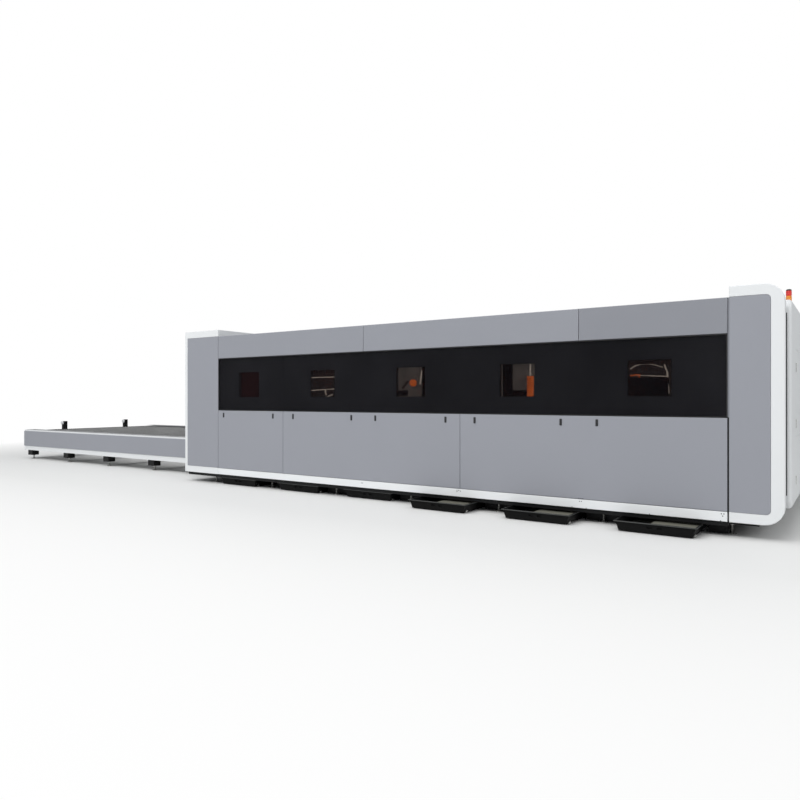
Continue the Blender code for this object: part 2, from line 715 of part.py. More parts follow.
def build_exchange_drive():
    drive = sprocket_shaft(DRIVE_X, GUIDE_OUTER + SHAFT_END)
    piece("drive_shaft", drive, "ground_steel", (DRIVE_X, 0, CHAIN_Z))
    idler = sprocket_shaft(IDLER_X, BEAM_INNER + SHAFT_END)
    piece("idler_shaft", idler, "ground_steel", (IDLER_X, 0, CHAIN_Z))
    half_height = CHAIN_THICKNESS / 2
    for name, side in (("front_chain", -1), ("rear_chain", 1)):
        loops = []
        for y, radius in (
            (-1, CHAIN_RADIUS + half_height), (1, CHAIN_RADIUS + half_height),
            (1, CHAIN_RADIUS - half_height), (-1, CHAIN_RADIUS - half_height),
        ):
            depth = side * CHAIN_Y + y * CHAIN_WIDTH / 2
            outline = rounded(DRIVE_X - radius, IDLER_X + radius, CHAIN_Z - radius, CHAIN_Z + radius,
                              radius, radius, CHAIN_STEPS)
            loops.append(in_space(outline, "Y", depth))
        piece(name, ring_solid(loops), "slat_steel", (DRIVE_X, side * CHAIN_Y, CHAIN_Z))
    build_exchange_motor()


def ring_solid(loops):
    """A closed band: each loop is bridged to the next, and the last one to the first."""
    bm = bmesh.new()
    rings = [[bm.verts.new(point) for point in loop] for loop in loops]
    for ring, following in zip(rings, rings[1:] + rings[:1]):
        count = len(ring)
        for index in range(count):
            after = (index + 1) % count
            bm.faces.new((ring[index], ring[after], following[after], following[index]))
    bmesh.ops.recalc_face_normals(bm, faces=bm.faces)
    mesh = bpy.data.meshes.new("band")
    bm.to_mesh(mesh)
    bm.free()
    band = bpy.data.objects.new("band", mesh)
    bpy.context.scene.collection.objects.link(band)
    return band


def build_exchange_motor():
    """Hollow-shaft gear motor on the drive shaft, held to the table's end beam by a torque arm."""
    middle = (DRIVE_X, CHAIN_Z)
    face = GEARBOX_RADIUS - GEARBOX_CHAMFER
    shoulder = GEARBOX_HALF - GEARBOX_CHAMFER
    gearbox = turned([
        (face, -GEARBOX_HALF), (GEARBOX_RADIUS, -shoulder), (GEARBOX_RADIUS, shoulder), (face, GEARBOX_HALF),
    ], middle, "Y")
    beam_face = TABLE_START + TABLE_PANEL + SEAT + END_BEAM
    arm = block(
        (beam_face + SEAT, -ARM_HALF, CHAIN_Z - ARM_HALF_HEIGHT),
        (DRIVE_X - GEARBOX_RADIUS / 2, ARM_HALF, CHAIN_Z + ARM_HALF_HEIGHT),
    )
    low = CHAIN_Z - GEARBOX_RADIUS / 2
    motor = rod(MOTOR_RADIUS, low - EXCHANGE_MOTOR_LENGTH, low, (DRIVE_X, 0), "Z")
    reach = GEARBOX_HALF + OVERSIZE
    hole = rod(SHAFT_RADIUS + RUNNING, -reach, reach, middle, "Y", BORE_SIDES)
    piece("exchange_motor", combine(gearbox, [arm, motor], [hole]), "black_frame", (DRIVE_X, 0, CHAIN_Z))


def slat(x, top):
    """One toothed support slat across the pallet."""
    half = PALLET_HALF - PALLET_TUBE + SLAT_IN_TUBE
    outline = [(-half, top - SLAT_DEPTH), (half, top - SLAT_DEPTH)]
    pitch = 2 * half / TEETH
    for count in range(TEETH, 0, -1):
        right = -half + pitch * count
        outline += [(right, top - TOOTH), (right - pitch / 2, top)]
    outline.append((-half, top - TOOTH))
    return prism(outline, "X", x - SLAT_THICKNESS / 2, x + SLAT_THICKNESS / 2)


def build_pallet(name, start, top, wheel_z, lug_x, lug_outline):
    """A slatted pallet: tube frame, bearers, slats, wheels and the lug that the chain pulls."""
    end = start + PALLET_LENGTH
    high = top - TOOTH + TUBE_OVER_SLATS
    low = top - PALLET_HEIGHT
    frame = block((start, -PALLET_HALF, low), (end, PALLET_HALF, high))
    hollow = block(
        (start + PALLET_TUBE, -PALLET_HALF + PALLET_TUBE, low - OVERSIZE),
        (end - PALLET_TUBE, PALLET_HALF - PALLET_TUBE, high + OVERSIZE),
    )
    combine(frame, removed=[hollow])
    parts = []
    for count in range(PALLET_BEARERS):
        y = (count + 1) * 2 * PALLET_HALF / (PALLET_BEARERS + 1) - PALLET_HALF
        parts.append(block(
            (start + PALLET_TUBE / 2, y - BEARER_WIDTH / 2, low + SHEET),
            (end - PALLET_TUBE / 2, y + BEARER_WIDTH / 2, low + BEARER_DEPTH),
        ))
    pitch = PALLET_LENGTH / (SLATS + 1)
    for count in range(SLATS):
        parts.append(slat(start + pitch * (count + 1), top))
    for count in range(WHEELS):
        x = start + PALLET_LENGTH * (count + 0.5) / WHEELS
        for side in (-1, 1):
            inner, outer = side * (PALLET_HALF - PALLET_TUBE / 4), side * (PALLET_HALF + WHEEL_WIDTH)
            parts.append(rod(WHEEL_RADIUS, inner, outer, (x, wheel_z), "Y", 8))
    for side in (-1, 1):
        outline = [(side * y, z) for y, z in lug_outline]
        parts.append(prism(outline, "X", lug_x - LUG_LENGTH / 2, lug_x + LUG_LENGTH / 2))
    piece(name, combine(frame, parts), "slat_steel", (start, 0, low))


def build_pallets():
    lug_inner, lug_outer = PALLET_HALF - PALLET_TUBE / 2, CHAIN_Y + CHAIN_WIDTH / 2
    reach = CHAIN_RADIUS + CHAIN_THICKNESS / 2 + SEAT
    upper_frame = UPPER_TOP - PALLET_HEIGHT + 2 * SEAT
    lower_frame = LOWER_TOP - TOOTH - LUG_SPACE
    chain_top, chain_bottom = CHAIN_Z + reach, CHAIN_Z - reach
    upper_lug = [
        (lug_inner, upper_frame + LUG), (lug_inner, chain_top), (lug_outer, chain_top),
        (lug_outer, chain_top + LUG), (PALLET_HALF, chain_top + LUG), (PALLET_HALF, upper_frame + LUG),
    ]
    lower_lug = [
        (lug_inner, lower_frame - LUG), (lug_inner, chain_bottom), (lug_outer, chain_bottom),
        (lug_outer, chain_bottom - LUG), (PALLET_HALF, chain_bottom - LUG), (PALLET_HALF, lower_frame - LUG),
    ]
    start = -PALLET_TO_PORT - PALLET_LENGTH
    build_pallet("upper_pallet", start, UPPER_TOP, WHEEL_MIDDLES[0],
                 -PALLET_TO_PORT - LUG_FROM_PORT_END, upper_lug)
    build_pallet("lower_pallet", PALLET_INSIDE, LOWER_TOP, WHEEL_MIDDLES[1],
                 PALLET_END - LUG_FROM_PORT_END, lower_lug)


def build_tray(name, x, front):
    """A shallow scrap tray with sloped sides, a rim, four rollers and two grip slots."""

    def ring(half_width, inset, z):
        outline = rectangle(x - half_width, x + half_width, front + inset, front + TRAY_DEPTH - inset)
        return in_space(outline, "Z", z)

    lip = TRAY_WIDTH / 2
    top = lip - TRAY_LIP
    bottom = top - TRAY_SLOPE
    low_rim = TRAY_RIM - TRAY_SHEET
    pan = loft([
        ring(bottom, TRAY_LIP * 2, TRAY_FLOOR),
        ring(top, TRAY_LIP, low_rim),
        ring(lip, 0, low_rim),
        ring(lip, 0, TRAY_RIM),
        ring(top - TRAY_SHEET, TRAY_LIP + TRAY_SHEET, TRAY_RIM),
        ring(bottom - TRAY_SHEET, TRAY_LIP * 2 + TRAY_SHEET, TRAY_FLOOR + TRAY_SHEET),
    ])
    rollers = []
    inside = TRAY_FLOOR + TRAY_SHEET / 2
    for y in (front + ROLLER_INSET, front + TRAY_DEPTH - ROLLER_INSET):
        arc = []
        for step in range(ROLLER_STEPS + 1):
            angle = math.pi * (1 + step / ROLLER_STEPS)
            arc.append((y + ROLLER_RADIUS * math.cos(angle), ROLLER_RADIUS + ROLLER_RADIUS * math.sin(angle)))
        arc += [(y + ROLLER_RADIUS, inside), (y - ROLLER_RADIUS, inside)]
        for side in (-1, 1):
            edge = x + side * (bottom - ROLLER_WIDTH)
            rollers.append(prism(arc, "X", edge - ROLLER_WIDTH / 2, edge + ROLLER_WIDTH / 2))
    slots = []
    middle = (TRAY_RIM + TRAY_FLOOR) / 2
    for side in (-1, 1):
        centre = x + side * SLOT_SPACING / 2
        outline = rectangle(centre - SLOT_WIDTH / 2, centre + SLOT_WIDTH / 2,
                            middle - SLOT_HEIGHT / 2, middle + SLOT_HEIGHT / 2)
        slots.append(prism(outline, "Y", front - OVERSIZE, front + TRAY_LIP * 2 + OVERSIZE))
    piece(name, combine(pan, rollers, slots), "black_frame", (x, front, TRAY_FLOOR))


def build_trays():
    pushed_in = TRAY_SETBACK - HALF_WIDTH
    for count in range(TRAYS):
        pulled = TRAY_PULLED if count >= TRAYS - TRAYS_PULLED else 0.0
        build_tray(f"scrap_tray_{count + 1}", FIRST_TRAY + TRAY_PITCH * count, pushed_in - pulled)


def latches(low_x, high_x):
    """The latches of one lower cover, two to a bay. The last bay needs no second one, at the cap."""
    places = [bay + side * LATCH_FROM_BAY for bay in BAY_MIDDLES for side in (-1, 1)][:-1]
    middle = GLASS_BOTTOM - LATCH_DROP
    return [
        block((x - LATCH_WIDTH / 2, -HALF_WIDTH - LATCH_PROUD, middle - LATCH_HEIGHT / 2),
              (x + LATCH_WIDTH / 2, -HALF_WIDTH + EDGE / 2, middle + LATCH_HEIGHT / 2))
        for x in places if low_x < x < high_x
    ]


def build_front_covers():
    edges = [HOOD_END] + SEAMS
    for count in range(PANELS):
        low, high = edges[count], edges[count + 1]
        lower = combine(cover(low, high, PANEL_BOTTOM, GLASS_BOTTOM, -1), latches(low, high))
        piece(f"front_lower_cover_{count + 1}", lower, "grey_cover", (low, -HALF_WIDTH, PANEL_BOTTOM))
        outline = rectangle(low + SEAM / 2, high - SEAM / 2, GLASS_BOTTOM + SEAM / 2, GLASS_TOP - SEAM / 2)
        strip = prism(outline, "Y", -HALF_WIDTH + GLASS_RECESS, -HALF_WIDTH + PANEL_DEPTH)
        piece(f"front_glass_{count + 1}", strip, "dark_glass", (low, -HALF_WIDTH, GLASS_BOTTOM))
    edges = [HOOD_END] + [seam + BAY for seam in SEAMS[:-1]] + [COVERS_END]
    for count in range(PANELS):
        low, high = edges[count], edges[count + 1]
        piece(f"front_upper_cover_{count + 1}", cover(low, high, GLASS_TOP, PANEL_TOP, -1),
              "grey_cover", (low, -HALF_WIDTH, GLASS_TOP))
    piece("front_skirt", cover(HOOD_END, COVERS_END, SKIRT_BOTTOM, PANEL_BOTTOM, -1),
          "white_cover", (HOOD_END, -HALF_WIDTH, SKIRT_BOTTOM))


def build_front_wall():
    """The inner wall behind the covers, with one safety window for each bay."""
    wall = block((HOOD_END, -WALL_FACE, SKIRT_BOTTOM), (COVERS_END, -WALL_INSIDE, WALL_TOP))
    low, high = WINDOW_MIDDLE - WINDOW_HEIGHT / 2, WINDOW_MIDDLE + WINDOW_HEIGHT / 2
    cuts = []
    for count, x in enumerate(BAY_MIDDLES):
        left, right = x - WINDOW_WIDTH / 2, x + WINDOW_WIDTH / 2
        cuts.append(block((left, -WALL_FACE - OVERSIZE, low), (right, -WALL_INSIDE + OVERSIZE, high)))
        outline = rectangle(left + SEAT, right - SEAT, low + SEAT, high - SEAT)
        front = -WALL_FACE + WINDOW_INSET
        pane = prism(outline, "Y", front, front + WINDOW_THICKNESS)
        piece(f"laser_window_{count + 1}", pane, "amber_glass", (x, front, WINDOW_MIDDLE))
    piece("front_wall", combine(wall, removed=cuts), "dark_wall", (HOOD_END, -WALL_FACE, SKIRT_BOTTOM))


def rear_panel(low_x, high_x, seams, holes):
    """One length of the rear wall, grooved along the glazing's height and at its seams."""
    wall = block((low_x, WALL_INSIDE, SKIRT_BOTTOM), (high_x, HALF_WIDTH, PANEL_TOP))
    face = HALF_WIDTH - GROOVE
    cuts = list(holes)
    for x in seams:
        cuts.append(block((x - GROOVE / 2, face, SKIRT_BOTTOM - OVERSIZE),
                          (x + GROOVE / 2, HALF_WIDTH + OVERSIZE, PANEL_TOP + OVERSIZE)))
    cuts.append(block((low_x - OVERSIZE, face, GLASS_BOTTOM - GROOVE / 2),
                      (high_x + OVERSIZE, HALF_WIDTH + OVERSIZE, GLASS_BOTTOM + GROOVE / 2)))
    return combine(wall, removed=cuts)


def build_rear_wall():
    """The rear wall, and the panel at its right end with the round port for the fume duct."""
    duct_start = COVERS_END - DUCT_PANEL
    wall = rear_panel(HOOD_END + SEAT, duct_start - SEAM, SEAMS[:-1], [])
    piece("rear_wall", wall, "grey_cover", (HOOD_END, HALF_WIDTH, SKIRT_BOTTOM))
    place = ((duct_start + COVERS_END) / 2, DUCT_HEIGHT)
    port = rod(DUCT_RADIUS, WALL_INSIDE - OVERSIZE, HALF_WIDTH + OVERSIZE, place, "Y")
    panel = rear_panel(duct_start - SEAM + SEAT, COVERS_END, [], [port])
    piece("rear_duct_panel", panel, "grey_cover", (duct_start, HALF_WIDTH, SKIRT_BOTTOM))


def build_roof():
    low = WALL_TOP + SEAT
    half = WALL_INSIDE - SEAT * 2
    section = [
        (-WALL_FACE, low), (half, low), (half, low + ROOF_EDGE),
        (0, low + ROOF_EDGE + ROOF_RISE), (-WALL_FACE, low + ROOF_EDGE),
    ]
    roof = prism(section, "X", HOOD_END + SEAT, HOUSING_START - SEAT)
    ribs = []
    reach = half - ROOF_RIB_MARGIN
    shoulder = low + ROOF_EDGE + ROOF_RIB_HEIGHT / 2
    rib = [
        (-reach, low + SEAT), (reach, low + SEAT), (reach, shoulder),
        (0, low + ROOF_EDGE + ROOF_RISE + ROOF_RIB_HEIGHT), (-reach, shoulder),
    ]
    for x in [seam - BAY / 2 for seam in SEAMS]:
        ribs.append(prism(rib, "X", x - ROOF_RIB_WIDTH / 2, x + ROOF_RIB_WIDTH / 2))
    piece("roof_cover", combine(roof, ribs), "grey_cover", (HOOD_END, 0, WALL_TOP))


def build_left_hood():
    """The raised hood over the pallet port: open below, to the right and at the port."""
    right = HOOD_END - SEAT
    body = block((0, -HALF_WIDTH, SKIRT_BOTTOM), (right, HALF_WIDTH, HOOD_TOP))
    strip = right - HOOD_WALL
    inside = WALL_INSIDE
    cuts = [
        block((HOOD_TRIM, -inside, 0), (strip, inside, HOOD_TOP - HOOD_WALL)),
        block((strip - SEAT, -inside, 0), (right + OVERSIZE, inside, WALL_TOP)),
        block((-OVERSIZE, -PORT_HALF, 0), (HOOD_TRIM + OVERSIZE, PORT_HALF, PORT_TOP)),
        block((HOOD_TRIM, -HALF_WIDTH - OVERSIZE, PANEL_BOTTOM),
              (right + OVERSIZE, -HALF_WIDTH + RECESS, PANEL_TOP)),
    ]
    piece("left_hood", combine(body, removed=cuts), "white_cover", (0, 0, SKIRT_BOTTOM))
    gap = SEAM / 2
    panel = prism(rectangle(HOOD_TRIM + gap, right - gap, PANEL_BOTTOM + gap, PANEL_TOP - gap), "Y",
                  -HALF_WIDTH, -HALF_WIDTH + RECESS - SEAT)
    piece("left_hood_panel", panel, "grey_cover", (HOOD_TRIM, -HALF_WIDTH, PANEL_BOTTOM))


def cap_body(side):
    """The end cap's rounded white block, with a softened front edge, on stand-offs."""

    def ring(inset, y):
        outline = rounded(CAP_START + inset, CAP_END - inset, SKIRT_BOTTOM + inset, HOOD_TOP - inset,
                          0, CAP_RADIUS - inset)
        return in_space(outline, "Y", y)

    face = side * HALF_WIDTH
    back = side * (HALF_WIDTH - CAP_DEPTH)
    body = loft([ring(CAP_BEVEL, face), ring(0, face - side * CAP_BEVEL), ring(0, back)])
    inner, outer = sorted((side * (HOUSING_HALF + SEAT), back + side * CLEAR))
    middle = (CAP_START + CAP_END) / 2
    stand_offs = [
        block((middle - STAND_OFF / 2, inner, z - STAND_OFF_HEIGHT / 2),
              (middle + STAND_OFF / 2, outer, z + STAND_OFF_HEIGHT / 2))
        for z in (HOUSING_BOTTOM + STAND_OFF_FROM_EDGE, HOUSING_TOP - STAND_OFF_FROM_EDGE)
    ]
    return body, stand_offs


def build_end_caps():
    body, stand_offs = cap_body(-1)
    low, high = CAP_START, CAP_END - CAP_TRIM
    face = -HALF_WIDTH
    pocket = prism(rounded(low - OVERSIZE, high, PANEL_BOTTOM, PANEL_TOP, 0, TRIM_RADIUS), "Y",
                   face - OVERSIZE, face + RECESS)
    cap = combine(body, stand_offs, [pocket])
    piece("front_end_cap", cap, "white_cover", (CAP_START, face, SKIRT_BOTTOM))
    gap = SEAM / 2
    infill = prism(rounded(low + gap, high - gap, PANEL_BOTTOM + gap, PANEL_TOP - gap, 0, TRIM_RADIUS - gap),
                   "Y", face, face + RECESS - SEAT)
    piece("front_end_panel", infill, "grey_cover", (CAP_START, face, PANEL_BOTTOM))
    body, stand_offs = cap_body(1)
    piece("rear_end_cap", combine(body, stand_offs), "white_cover", (CAP_START, -face, SKIRT_BOTTOM))


def build_end_housing():
    """The rounded housing that closes the right end, with the opening for its two doors."""
    body = prism(rounded(-HOUSING_HALF, HOUSING_HALF, HOUSING_BOTTOM, HOUSING_TOP,
                         HOUSING_RADIUS, HOUSING_RADIUS, 4), "X", HOUSING_START, HOUSING_END)
    inside = HOUSING_HALF - WALL
    cuts = [
        block((HOUSING_START - OVERSIZE, -inside, DOOR_BOTTOM),
              (HOUSING_END - WALL, inside, HOUSING_TOP - WALL)),
        block((HOUSING_END - WALL - OVERSIZE, -DOOR_HALF - SEAT, DOOR_BOTTOM),
              (HOUSING_END + OVERSIZE, DOOR_HALF + SEAT, DOOR_TOP + DOOR_GAP)),
    ]
    piece("end_housing", combine(body, removed=cuts), "white_cover", (HOUSING_END, 0, HOUSING_BOTTOM))


def build_end_door(place, side):
    """One swinging door, its origin on the hinge line at the housing's outer corner."""
    outer = HOUSING_END
    inner = outer - DOOR_THICKNESS
    leaf = block(
        (inner, min(side * DOOR_HALF, side * DOOR_GAP / 2), DOOR_BOTTOM + SEAT),
        (outer, max(side * DOOR_HALF, side * DOOR_GAP / 2), DOOR_TOP),
    )
    near, far = sorted((side * PANE_NEAR, side * (PANE_NEAR + PANE_WIDTH)))
    grip_low = DOOR_SEAM_HEIGHT + GRIP_WIDTH
    grip_near, grip_far = sorted((side * GRIP_WIDTH, side * GRIP_WIDTH * 2))
    groove_low, groove_high = DOOR_SEAM_HEIGHT - GROOVE / 2, DOOR_SEAM_HEIGHT + GROOVE / 2
    cuts = [
        block((inner - OVERSIZE, near, PANE_BOTTOM), (outer + OVERSIZE, far, PANE_TOP)),
        block((outer - DOOR_SEAM_DEPTH, -DOOR_HALF - OVERSIZE, groove_low),
              (outer + OVERSIZE, DOOR_HALF + OVERSIZE, groove_high)),
        block((outer - GRIP_DEPTH, grip_near, grip_low),
              (outer + OVERSIZE, grip_far, grip_low + GRIP_LENGTH)),
    ]
    pivot = (outer, side * DOOR_HALF, DOOR_BOTTOM)
    piece(place + "_end_door", combine(leaf, removed=cuts), "white_cover", pivot)
    outline = rectangle(near + SEAT, far - SEAT, PANE_BOTTOM + SEAT, PANE_TOP - SEAT)
    middle = outer - DOOR_THICKNESS / 2
    pane = prism(outline, "X", middle - PANE_THICKNESS / 2, middle + PANE_THICKNESS / 2)
    piece(place + "_door_glass", pane, "door_glass", pivot)


def build_signal_tower():
    """A stack of signal lamps on a short stem."""
    low = HOUSING_TOP + SEAT
    stem = low + SIGNAL_STEM
    foot_radius, stem_radius, neck = SIGNAL_RADIUS * 1.1, SIGNAL_RADIUS * 0.85, SIGNAL_RADIUS * 0.9
    profile = [(foot_radius, low), (foot_radius, low + SIGNAL_BASE),
               (stem_radius, low + SIGNAL_BASE), (stem_radius, stem)]
    for count in range(SIGNAL_LENSES):
        bottom = stem + SIGNAL_LENS * count
        top = bottom + SIGNAL_LENS
        profile += [
            (SIGNAL_RADIUS, bottom + SIGNAL_GROOVE), (SIGNAL_RADIUS, top - SIGNAL_GROOVE), (neck, top),
        ]
    profile.append((SIGNAL_RADIUS * 0.7, stem + SIGNAL_LENS * SIGNAL_LENSES + SIGNAL_LID))
    place = (HOUSING_END - SIGNAL_INSET, SIGNAL_FROM_EDGE - HOUSING_HALF)
    piece("signal_tower", turned(profile, place, "Z", 10), "signal", (*place, HOUSING_TOP))


def build_gantry_beam():
    """The cross beam on its two saddles, with the guide rails of the head carriage."""
    half = GANTRY_WIDTH / 2
    low_x, high_x = GANTRY_X - half, GANTRY_X + half
    section = [
        (low_x, SADDLE_TOP - SEAT), (high_x - GANTRY_CHAMFER, SADDLE_TOP - SEAT),
        (high_x, SADDLE_TOP + GANTRY_CHAMFER), (high_x, GANTRY_TOP - GANTRY_CHAMFER),
        (high_x - GANTRY_CHAMFER, GANTRY_TOP), (low_x, GANTRY_TOP),
    ]
    beam_half = PINION_Y - MOTOR_RADIUS - BEAM_TO_MOTOR
    beam = prism(section, "Y", -beam_half, beam_half)
    saddle = [
        (BEAM_INNER - SADDLE_OVERHANG, SADDLE_TOP), (BEAM_INNER - SADDLE_OVERHANG, SADDLE_BOTTOM),
        (RAIL_INNER - SADDLE_GRIP, SADDLE_BOTTOM), (RAIL_INNER - SADDLE_GRIP, RAIL_TOP + SEAT),
        (RAIL_OUTER + SADDLE_GRIP, RAIL_TOP + SEAT), (RAIL_OUTER + SADDLE_GRIP, SADDLE_BOTTOM),
        (RACK_INNER - RACK_CLEAR, SADDLE_BOTTOM), (RACK_INNER - RACK_CLEAR, MOTOR_PLATE),
        (BEAM_OUTER + SADDLE_OVERHANG, MOTOR_PLATE), (BEAM_OUTER + SADDLE_OVERHANG, SADDLE_TOP),
    ]
    parts, cuts = [], []
    for side in (-1, 1):
        outline = [(side * y, z) for y, z in saddle]
        parts.append(prism(outline, "X", GANTRY_X - SADDLE_LENGTH / 2, GANTRY_X + SADDLE_LENGTH / 2))
        cuts.append(rod(PINION_RADIUS + PINION_GAP, MOTOR_PLATE - OVERSIZE, SADDLE_TOP + OVERSIZE,
                        (GANTRY_X, side * PINION_Y), "Z"))
    reach = beam_half - Y_RAIL_MARGIN
    for z in (SADDLE_TOP + Y_RAIL_INSET, GANTRY_TOP - Y_RAIL_INSET):
        parts.append(block((low_x - Y_RAIL, -reach, z - Y_RAIL), (low_x + SEAT, reach, z + Y_RAIL)))
    span = 2 * beam_half / GANTRY_POCKETS
    low, high = SADDLE_TOP + GANTRY_WEB, GANTRY_TOP - GANTRY_WEB
    for count in range(GANTRY_POCKETS):
        middle = -beam_half + span * (count + 0.5)
        wide, narrow = span * POCKET_LOW / 2, span * POCKET_HIGH / 2
        pocket = [
            (middle - wide, low), (middle + wide, low), (middle + narrow, high), (middle - narrow, high),
        ]
        cuts.append(prism(pocket, "X", high_x - POCKET_DEPTH, high_x + OVERSIZE))
    piece("gantry_beam", combine(beam, parts, cuts), "machined_alloy", (GANTRY_X, 0, SADDLE_TOP))


def build_drive_motors():
    """The gantry's two motors, each turned in one with the pinion that runs on the rack."""
    low = SADDLE_TOP + SEAT
    top = low + MOTOR_LENGTH
    for name, side in (("front_drive_motor", -1), ("rear_drive_motor", 1)):
        profile = [
            (PINION_RADIUS, BEAM_TOP + PINION_LIFT), (PINION_RADIUS, RAIL_TOP),
            (SHAFT_RADIUS, RAIL_TOP), (SHAFT_RADIUS, low),
            (MOTOR_RADIUS, low), (MOTOR_RADIUS, low + MOTOR_FLANGE),
            (MOTOR_BODY_RADIUS, low + MOTOR_FLANGE), (MOTOR_BODY_RADIUS, top),
            (MOTOR_CAP_RADIUS, top + MOTOR_CAP),
        ]
        place = (GANTRY_X, side * PINION_Y)
        piece(name, turned(profile, place, "Z", 10), "black_frame", (*place, low))


def build_head():
    """The carriage on the gantry's face and the cutting head that rises and sinks on it."""
    rail_face = GANTRY_X - GANTRY_WIDTH / 2 - Y_RAIL - SEAT
    plate_face = rail_face - CARRIAGE_PLATE
    column_face = HEAD_X + HEAD_RADIUS + SLIDE_PLATE
    plate = block((plate_face, -CARRIAGE_HALF, SADDLE_TOP), (rail_face, CARRIAGE_HALF, CARRIAGE_TOP))
    column = block(
        (column_face, -COLUMN_HALF, SADDLE_TOP + COLUMN_MARGIN),
        (plate_face + SEAT, COLUMN_HALF, CARRIAGE_TOP - COLUMN_MARGIN),
    )
    drive = rod(LIFT_MOTOR_RADIUS, CARRIAGE_TOP - LIFT_MOTOR_ROOT, CARRIAGE_TOP + LIFT_MOTOR_RISE,
                ((column_face + plate_face) / 2, 0), "Z")
    carriage = combine(plate, [column, drive])
    piece("head_carriage", carriage, "machined_alloy", (GANTRY_X, 0, SADDLE_TOP))
    body = turned([(radius, NOZZLE_TIP + height) for radius, height in HEAD_PROFILE], (HEAD_X, 0), "Z")
    slide = block(
        (HEAD_X + HEAD_RADIUS / 2, -SLIDE_HALF, NOZZLE_TIP + SLIDE_LOW),
        (column_face - SEAT, SLIDE_HALF, NOZZLE_TIP + SLIDE_HIGH),
    )
    piece("cutting_head", combine(body, [slide]), "machined_alloy", (HEAD_X, 0, NOZZLE_TIP))


def clear_scene():
    for thing in list(bpy.data.objects):
        bpy.data.objects.remove(thing, do_unlink=True)


def main():
    clear_scene()
    middle = bpy.data.objects.new("machine_middle", None)
    middle.location = [-value for value in FOOTPRINT_MIDDLE]
    bpy.context.scene.collection.objects.link(middle)
    build_bed()
    build_rails()
    build_pallet_guides()
    build_table_frame()
    build_table_covers()
    build_exchange_drive()
    build_pallets()
    build_trays()
    build_front_covers()
    build_front_wall()
    build_rear_wall()
    build_roof()
    build_left_hood()
    build_end_caps()
    build_end_housing()
    build_end_door("front", -1)
    build_end_door("rear", 1)
    build_signal_tower()
    build_gantry_beam()
    build_drive_motors()
    build_head()
    bpy.context.view_layer.update()


main()
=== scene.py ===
"""Looks of an enclosed fiber laser cutting machine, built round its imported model."""

import math

import bmesh
import bpy
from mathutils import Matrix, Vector


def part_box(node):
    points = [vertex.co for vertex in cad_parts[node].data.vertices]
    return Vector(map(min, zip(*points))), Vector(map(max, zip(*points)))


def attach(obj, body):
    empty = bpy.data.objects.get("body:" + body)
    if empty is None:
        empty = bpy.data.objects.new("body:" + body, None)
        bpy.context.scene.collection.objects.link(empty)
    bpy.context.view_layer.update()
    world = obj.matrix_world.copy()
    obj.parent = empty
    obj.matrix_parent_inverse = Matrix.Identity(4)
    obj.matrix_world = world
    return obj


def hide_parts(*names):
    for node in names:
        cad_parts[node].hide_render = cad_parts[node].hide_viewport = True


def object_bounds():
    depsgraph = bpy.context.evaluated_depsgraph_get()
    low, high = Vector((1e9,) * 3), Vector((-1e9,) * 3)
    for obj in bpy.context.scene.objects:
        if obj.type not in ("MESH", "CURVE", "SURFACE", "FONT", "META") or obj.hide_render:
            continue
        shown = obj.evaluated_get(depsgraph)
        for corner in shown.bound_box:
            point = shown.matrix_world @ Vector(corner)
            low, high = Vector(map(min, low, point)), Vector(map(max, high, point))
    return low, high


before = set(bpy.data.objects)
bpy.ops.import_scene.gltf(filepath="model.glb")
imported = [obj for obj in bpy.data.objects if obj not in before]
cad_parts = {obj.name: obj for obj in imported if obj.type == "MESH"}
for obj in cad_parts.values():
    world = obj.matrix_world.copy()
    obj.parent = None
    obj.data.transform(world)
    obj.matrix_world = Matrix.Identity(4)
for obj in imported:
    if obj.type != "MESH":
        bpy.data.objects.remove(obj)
CAD_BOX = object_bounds()

bl_info = {
    "name": "Laser Cutting Machine",
    "version": (1, 0, 0),
    "blender": (4, 5, 0),
    "location": "3D View > Sidebar > Machine",
    "description": "Builds the covers, finishes and fine parts of an enclosed laser cutting machine",
    "category": "Add Mesh",
}

TOUCH = 0.0003              # gap between two pieces that rest on each other
FACE_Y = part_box("front_upper_cover_1")[0].y
GLASS_LOW, GLASS_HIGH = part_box("front_glass_1")
BAYS = [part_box(f"laser_window_{count}") for count in range(1, 6)]
SCREW_DOME = 0.55           # height of a screw head over its radius
# shares of the head's radius and height: the dome, then the socket
SCREW_PROFILE = ((1.0, 0.0), (0.96, 0.45), (0.8, 0.85), (0.55, 1.0), (0.42, 1.0), (0.42, 0.35))


# The last upper cover is this much darker: painted shade.
LAST_COVER_PAINTED_SHADE = 0.88
# The skirt's white is this much lighter: painted light.
SKIRT_PAINTED_LIGHT = 1.07
# colour, roughness, shade spread, sheet wave, dust, gloss
PAINTS = {
    "tray_paint": ((0.006, 0.006, 0.006), 0.5, 0.6, 1.0, 0.0, 0.08),
    "lighter_tray_rim": ((0.05, 0.052, 0.05), 0.45, 0.6, 0.4, 0.05),
    "dusty_sheet_painted_light": ((0.155, 0.152, 0.125), 0.5, 0.5, 0.5, 0.0, 0.3),
    "dusty_tray_floor": ((0.10, 0.10, 0.085), 0.6, 0.5, 0.4, 0.0),
    "inner_wall_paint": ((0.125, 0.122, 0.138), 0.6, 1.2, 0.4, 0.0, 0.1),
    "black_moulded_plastic": ((0.012, 0.012, 0.013), 0.45, 0.2, 0.0, 0.0),
    "gasket_rubber": ((0.010, 0.010, 0.010), 0.75, 0.3, 0.0, 0.0),
    "unlit_fitting": ((0.003, 0.003, 0.003), 0.6, 0.06, 0.6, 0.15, 0.05),
}
